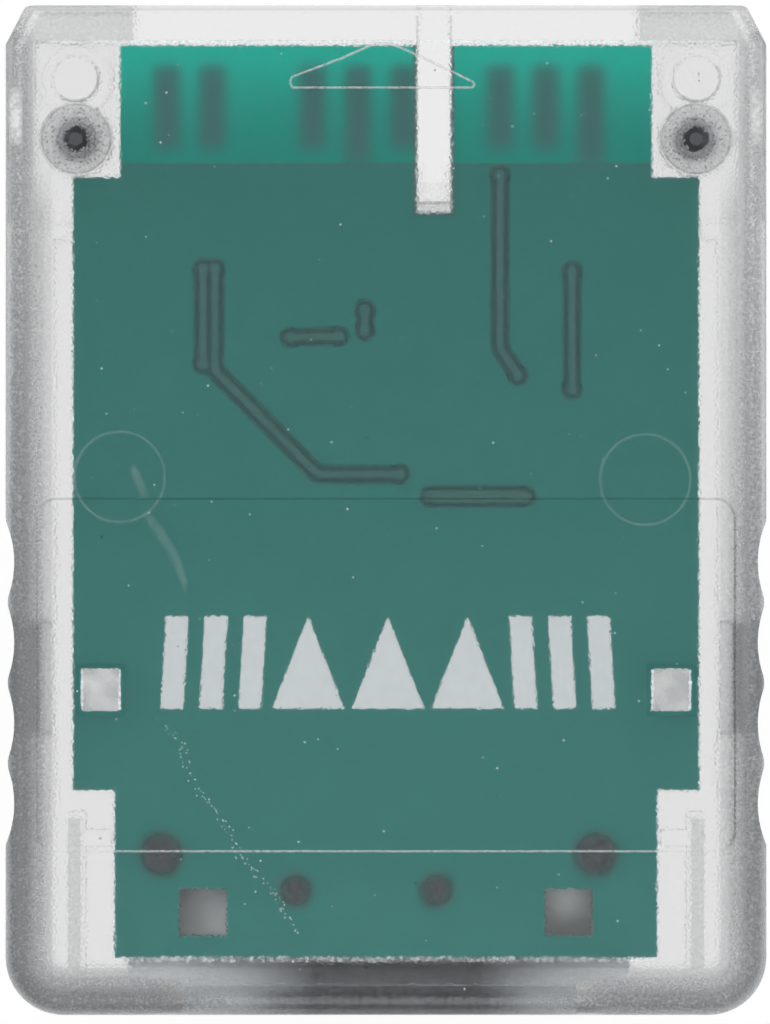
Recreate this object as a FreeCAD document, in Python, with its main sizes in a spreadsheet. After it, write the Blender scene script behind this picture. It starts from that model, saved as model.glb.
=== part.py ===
import FreeCAD, Part
import os
import re
import Sketcher

# A memory card adapter: two clear moulded covers, a circuit board with edge contacts and a flash card socket.
# It lies on its back face: X runs across it, Y towards the connector end, Z up to the front face.
# The origin is on the back face, under the middle of the case.

doc = FreeCAD.newDocument("memory_card_adapter")
sizes = doc.addObject("Spreadsheet::Sheet", "sizes")

# Driving dimensions in millimetres: name, value and what it measures.
# Offsets are measured across from the middle of the case, forward and back along it.
DIMENSIONS = (
    ("case_width", 42.0, "case across its straight sides"),
    ("case_length", 55.7, "case from the card mouth to the connector end"),
    ("case_thickness", 7.8, "case from the back face to the front face"),
    ("panel", 1.2, "flat panel of each cover"),
    ("side_wall", 1.6, "long walls of the covers"),
    ("front_wall", 1.9, "wall at the connector end"),
    ("rear_wall", 1.6, "wall at the card mouth"),
    ("cover_gap", 0.04, "front cover to back cover at their joint"),
    ("corner_cut_across", 1.12, "cut corner at the connector end, across the case"),
    ("corner_cut_along", 2.15, "cut corner at the connector end, along the case"),
    ("rear_corner", 3.2, "outline radius of the rear corners"),
    ("edge_round", 1.1, "outer edge of each panel along the sides and rear"),
    ("lead_round", 0.4, "outer edge of each panel at the connector end"),
    ("grip_count", 4, "finger hollows along each side"),
    ("grip_pitch", 4.44, "spacing of the finger hollows"),
    ("grip_setback", 25.0, "first finger hollow, from the rear edge"),
    ("grip_depth", 0.5, "depth of a finger hollow"),
    ("grip_radius", 5.5, "radius of a finger hollow"),
    ("grip_ridge_round", 1.5, "radius of the ridges between the hollows"),
    ("label_margin", 1.7, "sunk label field to the sides of the case"),
    ("label_length", 19.55, "sunk label field along the case"),
    ("label_setback", 28.55, "front edge of the label field, from the rear edge"),
    ("label_depth", 0.25, "depth of the label field"),
    ("label_corner", 1.1, "corner radius of the label field"),
    ("board_thickness", 1.2, "circuit board"),
    ("board_front_gap", 0.26, "board to the wall at the connector end"),
    ("board_rear_gap", 1.55, "board to the wall at the card mouth"),
    ("board_lip_gap", 1.1, "board to the lip of the back cover"),
    ("board_boss_gap", 0.06, "front shoulders of the board to the screw bosses"),
    ("board_side_gap", 0.2, "board to the stops beside it"),
    ("tongue_bearing", 0.7, "tongue of the board on the rim of the connector window"),
    ("tail_margin", 0.7, "narrow tail of the board beyond the socket"),
    ("tail_length", 9.24, "length of the tail"),
    ("tail_window_offset", 10.1, "square windows in the tail, from the middle of the case"),
    ("tail_window_setback", 2.5, "square windows in the tail, from its end"),
    ("tail_window_width", 2.65, "square windows in the tail, across"),
    ("tail_window_length", 2.6, "square windows in the tail, along"),
    ("key_offset", 2.65, "middle of the key channel"),
    ("key_width", 1.72, "key channel between its walls"),
    ("key_reach", 2.1, "key channel beyond the connector window"),
    ("key_wall", 0.8, "wall round the key channel in the back cover"),
    ("key_side_gap", 0.12, "board slot beyond the key channel, each side"),
    ("key_end_gap", 0.55, "board slot beyond the end of the key channel"),
    ("pad_plating", 0.05, "gold plated copper of an edge contact"),
    ("pad_width", 1.2, "edge contact"),
    ("pad_pitch", 2.5, "edge contacts within a group"),
    ("pad_left_margin", 1.9, "left pair of edge contacts to the end of the connector window"),
    ("pad_slot_margin", 0.72, "middle three edge contacts to the key slot of the board"),
    ("pad_front_gap", 1.15, "edge contacts to the edge of the board"),
    ("pad_rear_gap", 0.14, "supply contacts to the wall of the connector window"),
    ("pad_step", 0.75, "supply contacts beyond the others"),
    ("corner_block", 7.0, "connector window to the sides of the case"),
    ("window_length", 8.8, "connector window from the connector end"),
    ("window_wall", 1.1, "wall round the connector window"),
    ("boss_inset", 3.9, "screw bosses, from the sides of the case"),
    ("boss_setback", 7.35, "screw bosses, from the connector end"),
    ("boss_diameter", 4.1, "screw bosses of the front cover"),
    ("boss_wall", 0.6, "screw seats of the back cover, round the head"),
    ("screw_shank", 1.4, "screw under its thread"),
    ("screw_head", 2.3, "diameter of the screw head"),
    ("screw_head_height", 0.9, "height of the screw head"),
    ("screw_head_bevel", 0.3, "outer edge of the screw head"),
    ("screw_point", 0.5, "taper at the tip of the screw"),
    ("screw_recess", 1.3, "cross recess in the screw head, across"),
    ("screw_recess_slot", 0.36, "cross recess, width of a slot"),
    ("screw_recess_depth", 0.55, "cross recess"),
    ("screw_seat", 1.6, "seat of the screw head above the back face"),
    ("screw_gap", 0.2, "screw to the holes of the back cover"),
    ("thread_fit", 0.05, "screw shank to the bore of its boss"),
    ("screw_tip_gap", 0.3, "bore beyond the tip of the screw"),
    ("bore_floor", 0.1, "bore of a boss to the panel"),
    ("peg_inset", 3.85, "locating pegs, from the sides of the case"),
    ("peg_setback", 4.0, "locating pegs, from the connector end"),
    ("peg_diameter", 2.5, "locating pegs"),
    ("peg_reach", 1.2, "locating pegs below the joint of the covers"),
    ("peg_fit", 0.06, "locating peg to its socket"),
    ("peg_end_gap", 0.2, "tip of the peg to the floor of its socket"),
    ("peg_socket_wall", 0.65, "wall of the peg socket"),
    ("post_edge", 1.55, "square posts in the board, from its side edges"),
    ("post_setback", 17.95, "square posts in the board, from the rear edge"),
    ("post_width", 2.1, "square post across"),
    ("post_length", 2.3, "square post along"),
    ("post_end_gap", 0.1, "end of a square post to the back of the board"),
    ("post_gap", 0.08, "square post to its window in the board"),
    ("post_shoulder", 0.3, "shoulder that clamps the board, round the post"),
    ("witness_inset", 6.5, "ejector pin marks inside the front panel, from the sides"),
    ("witness_setback", 29.6, "ejector pin marks, from the rear edge"),
    ("witness_diameter", 5.0, "ejector pin marks"),
    ("witness_height", 0.1, "ejector pin marks"),
    ("tail_rib_gap", 1.6, "ribs beside the tail to the tail"),
    ("tail_rib_width", 0.9, "ribs beside the tail"),
    ("tail_rib_setback", 11.2, "front end of the ribs beside the tail, from the rear edge"),
    ("tail_rib_length", 8.6, "ribs beside the tail"),
    ("stop_rib_setback", 9.3, "cross ribs that centre the tail, from the rear edge"),
    ("stop_rib_width", 0.9, "cross ribs that centre the tail"),
    ("lip_gap", 0.2, "lip of the back cover to the wall of the front cover"),
    ("lip_thickness", 0.8, "lip"),
    ("lip_height", 0.8, "lip above the joint of the covers"),
    ("lip_front_setback", 11.9, "front end of the lip, from the connector end"),
    ("lip_rear_setback", 12.3, "rear end of the lip, from the rear edge"),
    ("stop_width", 0.9, "stops on the lip that centre the board"),
    ("clip_setback", 18.6, "middle of the snap clips, from the rear edge"),
    ("clip_length", 6.0, "snap clips along the case"),
    ("clip_thickness", 0.6, "arm of a snap clip"),
    ("clip_wall_gap", 0.3, "arm of a snap clip to the wall beside it"),
    ("clip_reach", 2.0, "snap clip below the joint of the covers"),
    ("clip_catch", 0.35, "hook of a clip beyond the face of the wall"),
    ("hook_height", 0.9, "hook of a clip"),
    ("hook_land", 0.3, "flat end of the hook"),
    ("catch_gap", 0.1, "hook to its pocket in the wall"),
    ("clip_end_gap", 0.2, "clip to the ends of the lip"),
    ("support_socket_gap", 0.4, "ribs under the board to the tabs of the socket"),
    ("support_width", 1.0, "ribs under the board"),
    ("support_front_gap", 1.84, "ribs under the board to its front shoulders"),
    ("support_post_gap", 1.2, "ribs under the board to the square posts"),
    ("support_end_gap", 0.5, "ribs under the board to its rear shoulders"),
    ("notch_setback", 7.75, "rear end of the notches in the sides, from the connector end"),
    ("notch_length", 3.55, "notches in the sides"),
    ("notch_depth", 0.9, "notches in the sides"),
    ("notch_height", 3.2, "notches in the sides, above the back face"),
    ("flash_card_width", 24.0, "flash card that the socket takes"),
    ("flash_card_thickness", 2.1, "flash card that the socket takes"),
    ("flash_card_gap", 0.2, "flash card to the socket, each way"),
    ("mouth_gap", 0.4, "flash card to the ends of the mouth in the case"),
    ("mouth_drop", 0.1, "floor of the mouth below the floor of the socket"),
    ("mouth_tongue_margin", 1.5, "tongue of the socket base to the ends of the mouth"),
    ("mouth_tongue_gap", 0.3, "tongue of the socket base to the rear edge of the case"),
    ("socket_left_shift", 0.4, "middle of the socket, to the left of the middle of the case"),
    ("socket_wall_gap", 0.2, "mouth of the socket to the wall at the card mouth"),
    ("socket_length", 28.34, "socket from its mouth to its rear block"),
    ("base_plate", 0.5, "plate of the socket base under the board"),
    ("socket_floor_gap", 0.2, "socket to the panel of the back cover"),
    ("rail_width", 1.5, "side rails of the socket base"),
    ("rear_block", 1.8, "rear block of the socket base"),
    ("bay_margin", 0.4, "bays in the socket base, round the tail windows"),
    ("socket_peg_side", 1.7, "large pegs of the socket, from the sides of its base"),
    ("socket_peg_setback", 7.05, "large pegs of the socket, from its mouth"),
    ("socket_peg_diameter", 2.1, "large pegs of the socket"),
    ("small_peg_left", 4.6, "left small peg of the socket, from its middle"),
    ("small_peg_right", 3.2, "right small peg of the socket, from its middle"),
    ("small_peg_setback", 5.05, "small pegs of the socket, from its mouth"),
    ("small_peg_diameter", 1.5, "small pegs of the socket"),
    ("socket_peg_fit", 0.06, "socket pegs to their holes in the board"),
    ("socket_peg_inset", 0.1, "socket pegs below the front face of the board"),
    ("shield_sheet", 0.2, "steel sheet of the socket shield"),
    ("shield_board_gap", 0.1, "side walls of the shield to the board"),
    ("shield_tab_length", 0.9, "solder tabs of the shield, outwards"),
    ("shield_tab_width", 1.8, "solder tabs of the shield, along the case"),
    ("shield_tab_front", 1.5, "rear tabs, from the rear end of the shield"),
    ("shield_tab_spread", 14.0, "front tabs, from the rear tabs"),
    ("shield_spring_offset", 7.5, "pressing springs cut in the shield"),
    ("shield_spring_width", 3.0, "pressing springs"),
    ("shield_spring_length", 8.0, "pressing springs"),
    ("shield_spring_start", 6.2, "tips of the pressing springs, from the mouth"),
    ("shield_spring_slot", 0.5, "slot cut round a pressing spring"),
    ("shield_lip_width", 14.0, "cut-away for the thumb at the mouth of the shield"),
    ("shield_lip_depth", 1.6, "cut-away for the thumb"),
    ("contact_reach", 9.6, "first spring contact, to the left of the middle of the socket"),
    ("contact_pitch", 2.5, "spring contacts"),
    ("contact_last_pitch", 1.7, "last spring contact from its neighbour"),
    ("contact_width", 0.8, "spring contact"),
    ("contact_sheet", 0.15, "bronze strip of the springs"),
    ("contact_tail", 1.2, "solder tail behind the socket"),
    ("contact_arm", 6.6, "free arm of a spring contact"),
    ("contact_drop", 0.8, "free arm, down to the start of its bend"),
    ("contact_bend", 0.9, "bend at the tip, each way along the contact"),
    ("contact_bend_drop", 0.25, "bend at the tip, below the arm"),
    ("contact_slot_gap", 0.15, "spring contact to its slot"),
    ("contact_tip_gap", 0.8, "slot beyond the tip of the contact"),
    ("switch_height", 1.2, "leaf switch strip"),
    ("switch_floor_gap", 0.6, "leaf switch strip to the shield"),
    ("switch_inset", 0.75, "leaf switch strip, from the card side of the rail"),
    ("switch_bulge", 0.1, "bend of the leaf switch, into the way of the card"),
    ("switch_run", 3.0, "straight stretch of the leaf switch"),
    ("switch_slope", 2.2, "slopes of the leaf switch, each way from its bend"),
    ("switch_pocket", 1.1, "pocket for the leaf switch in its rail"),
    ("switch_slot_gap", 0.08, "leaf switch to its slot in the rear block"),
    ("resistor_length", 1.6, "chip resistor along the case"),
    ("resistor_width", 0.8, "chip resistor across"),
    ("resistor_height", 0.45, "chip resistor"),
    ("resistor_lead", 5.2, "row of chip resistors, ahead of the socket"),
    ("resistor_reach", 7.5, "first chip resistor, to the left of the middle of the case"),
    ("resistor_pitch", 5.0, "chip resistors"),
    ("capacitor_length", 2.0, "bypass capacitor along the case"),
    ("capacitor_width", 1.25, "bypass capacitor across"),
    ("capacitor_height", 0.85, "bypass capacitor"),
    ("capacitor_offset", 11.5, "bypass capacitor, from the middle of the case"),
    ("capacitor_lead", 4.2, "bypass capacitor, ahead of the socket"),
)
for row, (alias, size, note) in enumerate(DIMENSIONS, start=1):
    sizes.set(f"A{row}", note)
    sizes.set(f"B{row}", str(size))
    sizes.setAlias(f"B{row}", alias)
doc.recompute()

# Places that several pieces share, as formulas in the sheet's names.
# Across the case they run from its middle, along it from its middle to the connector end.
HALF_WIDTH = "(case_width / 2)"
HALF_LENGTH = "(case_length / 2)"
INNER_SIDE = f"({HALF_WIDTH} - side_wall)"
INNER_FRONT = f"({HALF_LENGTH} - front_wall)"
INNER_REAR = f"(rear_wall - {HALF_LENGTH})"
LIP_OUTER = f"({INNER_SIDE} - lip_gap)"
LIP_INNER = f"({LIP_OUTER} - lip_thickness)"
LIP_FRONT = f"({HALF_LENGTH} - lip_front_setback)"
LIP_REAR = f"(lip_rear_setback - {HALF_LENGTH})"
WINDOW_HALF = f"({HALF_WIDTH} - corner_block)"
WINDOW_REAR = f"({HALF_LENGTH} - window_length)"
KEY_END = f"({WINDOW_REAR} - key_reach)"
BOSS_ACROSS = f"({HALF_WIDTH} - boss_inset)"
BOSS_ALONG = f"({HALF_LENGTH} - boss_setback)"
PEG_ACROSS = f"({HALF_WIDTH} - peg_inset)"
PEG_ALONG = f"({HALF_LENGTH} - peg_setback)"
CLIP_ALONG = f"(clip_setback - {HALF_LENGTH})"

# Heights over the back face, from the panel up through the socket to the board. The board lies level with the
# rim of the back cover, and the front cover begins a hair above it.
CHANNEL_FLOOR = "(panel + socket_floor_gap + shield_sheet)"
CHANNEL_TOP = f"({CHANNEL_FLOOR} + flash_card_thickness + flash_card_gap)"
PARTING = f"({CHANNEL_TOP} + base_plate)"
JOINT = f"({PARTING} + cover_gap)"
BOARD_TOP = f"({PARTING} + board_thickness)"
CEILING = "(case_thickness - panel)"
CLIP_FOOT = f"({PARTING} - clip_reach)"
BORE_END = f"({CEILING} - bore_floor)"
SCREW_TIP = f"({BORE_END} - screw_tip_gap)"

# The socket takes the flash card, and the board carries the socket.
CHANNEL_HALF = "(flash_card_width / 2 + flash_card_gap)"
RAIL_HALF = f"({CHANNEL_HALF} + rail_width)"
SHIELD_HALF = f"({RAIL_HALF} + shield_sheet)"
BOARD_HALF = f"({LIP_INNER} - board_lip_gap)"
TONGUE_HALF = f"({WINDOW_HALF} + tongue_bearing)"
TAIL_HALF = f"({SHIELD_HALF} + socket_left_shift + tail_margin)"
BOARD_FRONT = f"({INNER_FRONT} - board_front_gap)"
BOARD_SHOULDER = f"({BOSS_ALONG} - boss_diameter / 2 - board_boss_gap)"
TAIL_END = f"({INNER_REAR} + board_rear_gap)"
TAIL_SHOULDER = f"({TAIL_END} + tail_length)"
TAIL_WINDOW_ALONG = f"({TAIL_END} + tail_window_setback)"
SLOT_LEFT = "(key_offset - key_width / 2 - key_side_gap)"
SLOT_RIGHT = "(key_offset + key_width / 2 + key_side_gap)"
POST_ACROSS = f"({BOARD_HALF} - post_edge)"
POST_ALONG = f"(post_setback - {HALF_LENGTH})"
SOCKET_MOUTH = f"({INNER_REAR} + socket_wall_gap)"
SOCKET_REAR = f"({SOCKET_MOUTH} + socket_length)"
BLOCK_FRONT = f"({SOCKET_REAR} - rear_block)"
CONTACT_TIP = f"({BLOCK_FRONT} - contact_arm - 2 * contact_bend)"

subparts = []


def formula(text):
    """The text with each of the sheet's names turned into a reference to its cell."""
    return re.sub("[a-z_]+", lambda name: f"sizes.{name.group()}", text)


def value(text):
    """What a formula comes to now."""
    return sizes.evalExpression(formula(text))


def circle(across, along, diameter):
    """A circle for a sketch, by its middle and its diameter."""
    return (across, along, diameter)


def rectangle(left, right, rear, front):
    """A rectangle for a sketch, by its four sides."""
    return [(left, rear), (right, rear), (right, front), (left, front)]


def block(across, along, width, length):
    """A rectangle for a sketch, by its middle and its two sizes."""
    return rectangle(
        f"{across} - ({width}) / 2",
        f"{across} + ({width}) / 2",
        f"{along} - ({length}) / 2",
        f"{along} + ({length}) / 2",
    )


def new_body(label):
    """The body of one sub-part, which is written to a file of the same name."""
    body = doc.addObject("PartDesign::Body", label)
    subparts.append(body)
    return body


def origin_feature(body, role):
    """One of the planes or axes of a body's own origin."""
    return next(feature for feature in body.Origin.OriginFeatures if feature.Role == role)


def hold(sketch, kind, geometry, point, text):
    """Hold one coordinate of a sketch point at a formula."""
    number = sketch.addConstraint(Sketcher.Constraint(kind, -1, 1, geometry, point, value(text)))
    sketch.setExpression(f"Constraints[{number}]", formula(text))


def draw_circle(sketch, across, along, diameter):
    """Add a circle whose middle and diameter follow their formulas."""
    middle = FreeCAD.Vector(value(across), value(along), 0)
    number = sketch.addGeometry(Part.Circle(middle, FreeCAD.Vector(0, 0, 1), value(diameter) / 2))
    hold(sketch, "DistanceX", number, 3, across)
    hold(sketch, "DistanceY", number, 3, along)
    size = sketch.addConstraint(Sketcher.Constraint("Diameter", number, value(diameter)))
    sketch.setExpression(f"Constraints[{size}]", formula(diameter))


def draw_polygon(sketch, points):
    """Add a closed outline whose corners follow their formulas."""
    first = sketch.GeometryCount
    corners = [FreeCAD.Vector(value(across), value(along), 0) for across, along in points]
    for start, end in zip(corners, corners[1:] + corners[:1]):
        sketch.addGeometry(Part.LineSegment(start, end))
    for number, (across, along) in enumerate(points):
        following = (number + 1) % len(points)
        sketch.addConstraint(Sketcher.Constraint("Coincident", first + number, 2, first + following, 1))
        hold(sketch, "DistanceX", first + number, 1, across)
        hold(sketch, "DistanceY", first + number, 1, along)


def profile(body, name, offset, shapes, plane="XY_Plane"):
    """A sketch of circles and outlines, on one of the body's planes moved along its normal."""
    sketch = body.newObject("Sketcher::SketchObject", f"{body.Name}_{name}_sketch")
    sketch.AttachmentSupport = [(origin_feature(body, plane), "")]
    sketch.MapMode = "FlatFace"
    sketch.setExpression("AttachmentOffset.Base.z", formula(offset))
    for shape in shapes:
        if isinstance(shape, tuple):
            draw_circle(sketch, *shape)
        else:
            draw_polygon(sketch, shape)
    return sketch


def add(body, name, bottom, top, *shapes, plane="XY_Plane"):
    """Material between two heights over a plane of the body."""
    pad = body.newObject("PartDesign::Pad", f"{body.Name}_{name}")
    pad.Profile = profile(body, name, bottom, shapes, plane)
    pad.setExpression("Length", formula(f"{top} - ({bottom})"))
    return pad


def cut(body, name, bottom, top, *shapes):
    """A cut between two heights over the body's XY plane, which has to take some material away."""
    doc.recompute()
    before = body.Shape.Volume
    pocket = body.newObject("PartDesign::Pocket", f"{body.Name}_{name}")
    pocket.Profile = profile(body, name, bottom, shapes)
    pocket.setExpression("Length", formula(f"{top} - ({bottom})"))
    pocket.Reversed = True
    doc.recompute()
    if not body.Shape.Volume < before:
        raise RuntimeError(f"{pocket.Name} cuts nothing")
    return pocket


def round_edges(body, name, radius, wanted):
    """A fillet on every edge of the body that passes a test of its box."""
    doc.recompute()
    base = body.Tip
    edges = [
        f"Edge{number}"
        for number, edge in enumerate(base.Shape.Edges, start=1)
        if wanted(edge.BoundBox)
    ]
    fillet = body.newObject("PartDesign::Fillet", f"{body.Name}_{name}")
    fillet.Base = (base, edges)
    fillet.setExpression("Radius", formula(radius))
    return fillet


def mirror(body, name, features):
    """The same features on the left side of the case."""
    copy = body.newObject("PartDesign::Mirrored", f"{body.Name}_{name}")
    copy.Originals = features
    copy.MirrorPlane = (origin_feature(body, "YZ_Plane"), [""])
    body.Tip = copy
    return copy


def near(first, second):
    """Whether two measured places are the same."""
    return abs(first - second) < 1e-4


def upright(box):
    """Whether an edge's box is that of a straight edge along Z."""
    return near(box.XLength, 0) and near(box.YLength, 0) and box.ZLength > 0


def cover_blank(body, bottom, top, face):
    """The outer block of a cover: its outline, rounded edges and finger grips, before it is hollowed.

    The face is the height of the outer panel, whose edge is rounded.
    """
    half_length = value(HALF_LENGTH)
    outline = [
        (f"-{HALF_WIDTH}", f"-{HALF_LENGTH}"),
        (HALF_WIDTH, f"-{HALF_LENGTH}"),
        (HALF_WIDTH, f"{HALF_LENGTH} - corner_cut_along"),
        (f"{HALF_WIDTH} - corner_cut_across", HALF_LENGTH),
        (f"corner_cut_across - {HALF_WIDTH}", HALF_LENGTH),
        (f"-{HALF_WIDTH}", f"{HALF_LENGTH} - corner_cut_along"),
    ]
    add(body, "blank", bottom, top, outline)
    round_edges(
        body,
        "rear_corners",
        "rear_corner",
        lambda box: upright(box) and near(box.YMin, -half_length),
    )

    height = value(face)
    round_edges(
        body,
        "edge",
        "edge_round",
        lambda box: near(box.ZMin, height) and near(box.ZMax, height) and not near(box.YMin, half_length),
    )
    round_edges(
        body,
        "lead_edge",
        "lead_round",
        lambda box: near(box.ZMin, height) and near(box.ZMax, height) and near(box.YMin, half_length),
    )

    # One hollow on each side, repeated along the case, with the ridges between them rounded over.
    hollow_across = f"({HALF_WIDTH} - grip_depth + grip_radius)"
    hollow_along = f"(grip_setback - {HALF_LENGTH})"
    hollow = cut(
        body,
        "grip",
        bottom,
        top,
        circle(hollow_across, hollow_along, "2 * grip_radius"),
        circle(f"-{hollow_across}", hollow_along, "2 * grip_radius"),
    )
    grips = body.newObject("PartDesign::LinearPattern", f"{body.Name}_grips")
    grips.Originals = [hollow]
    grips.Direction = (origin_feature(body, "Y_Axis"), [""])
    grips.Reversed = True
    grips.setExpression("Length", formula("grip_pitch * (grip_count - 1)"))
    grips.setExpression("Occurrences", formula("grip_count"))
    body.Tip = grips
    first_hollow = value(hollow_along)
    last_hollow = value(f"{hollow_along} - grip_pitch * (grip_count - 1)")
    round_edges(
        body,
        "grip_ridges",
        "grip_ridge_round",
        lambda box: upright(box) and last_hollow < box.YMin < first_hollow,
    )


def hollow_cover(body, bottom, top):
    """The space inside a cover, with rounded corners at the rear."""
    cut(body, "cavity", bottom, top, rectangle(f"-{INNER_SIDE}", INNER_SIDE, INNER_REAR, INNER_FRONT))
    inner_side = value(INNER_SIDE)
    inner_rear = value(INNER_REAR)
    round_edges(
        body,
        "cavity_corners",
        "rear_corner - side_wall",
        lambda box: upright(box) and near(abs(box.XMin), inner_side) and near(box.YMin, inner_rear),
    )


def front_cover():
    """Clear moulded front half, with the label field, the bosses and the posts that clamp the board."""
    body = new_body("front_cover")
    cover_blank(body, JOINT, "case_thickness", "case_thickness")
    hollow_cover(body, JOINT, CEILING)
    label_half = f"({HALF_WIDTH} - label_margin)"
    label_front = f"(label_setback - {HALF_LENGTH})"
    cut(
        body,
        "label_field",
        "case_thickness - label_depth",
        "case_thickness",
        rectangle(f"-{label_half}", label_half, f"{label_front} - label_length", label_front),
    )
    label_floor = value("case_thickness - label_depth")
    label_side = value(label_half)
    round_edges(
        body,
        "label_corners",
        "label_corner",
        lambda box: upright(box) and near(box.ZMin, label_floor) and near(abs(box.XMin), label_side),
    )
    cut(
        body,
        "key_notch",
        JOINT,
        CEILING,
        rectangle(
            "key_offset - key_width / 2",
            "key_offset + key_width / 2",
            INNER_FRONT,
            f"{HALF_LENGTH} + front_wall",
        ),
    )

    # Right side, copied to the left: screw boss, peg, post, ribs, snap clip and ejector pin mark.
    boss = add(body, "boss", JOINT, CEILING, circle(BOSS_ACROSS, BOSS_ALONG, "boss_diameter"))
    peg = add(
        body,
        "peg",
        f"{PARTING} - peg_reach",
        CEILING,
        circle(PEG_ACROSS, PEG_ALONG, "peg_diameter"),
    )
    shoulder = add(
        body,
        "post_shoulder",
        BOARD_TOP,
        CEILING,
        block(POST_ACROSS, POST_ALONG, "post_width + 2 * post_shoulder", "post_length + 2 * post_shoulder"),
    )
    post = add(
        body,
        "post",
        f"{PARTING} + post_end_gap",
        BOARD_TOP,
        block(POST_ACROSS, POST_ALONG, "post_width", "post_length"),
    )
    rib_inner = f"({TAIL_HALF} + tail_rib_gap)"
    rib_front = f"(tail_rib_setback - {HALF_LENGTH})"
    tail_rib = add(
        body,
        "tail_rib",
        JOINT,
        CEILING,
        rectangle(
            rib_inner,
            f"{rib_inner} + tail_rib_width",
            f"{rib_front} - tail_rib_length",
            rib_front,
        ),
    )
    stop_rear = f"(stop_rib_setback - {HALF_LENGTH})"
    stop_rib = add(
        body,
        "stop_rib",
        JOINT,
        CEILING,
        rectangle(
            f"{TAIL_HALF} + board_side_gap",
            rib_inner,
            stop_rear,
            f"{stop_rear} + stop_rib_width",
        ),
    )
    arm_outer = f"({INNER_SIDE} - clip_wall_gap)"
    arm_inner = f"({arm_outer} - clip_thickness)"
    hook_tip = f"({INNER_SIDE} + clip_catch)"
    clip = add(
        body,
        "clip",
        f"-{CLIP_ALONG} - clip_length / 2",
        f"clip_length / 2 - {CLIP_ALONG}",
        [
            (arm_inner, CEILING),
            (arm_inner, CLIP_FOOT),
            (arm_outer, CLIP_FOOT),
            (hook_tip, f"{CLIP_FOOT} + hook_height - hook_land"),
            (hook_tip, f"{CLIP_FOOT} + hook_height"),
            (arm_outer, f"{CLIP_FOOT} + hook_height"),
            (arm_outer, CEILING),
        ],
        plane="XZ_Plane",
    )
    witness = add(
        body,
        "witness_mark",
        f"{CEILING} - witness_height",
        CEILING,
        circle(f"{HALF_WIDTH} - witness_inset", f"witness_setback - {HALF_LENGTH}", "witness_diameter"),
    )
    bore = cut(
        body,
        "boss_bore",
        JOINT,
        BORE_END,
        circle(BOSS_ACROSS, BOSS_ALONG, "screw_shank + 2 * thread_fit"),
    )
    mirror(body, "left_side", [boss, peg, shoulder, post, tail_rib, stop_rib, clip, witness, bore])


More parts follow.
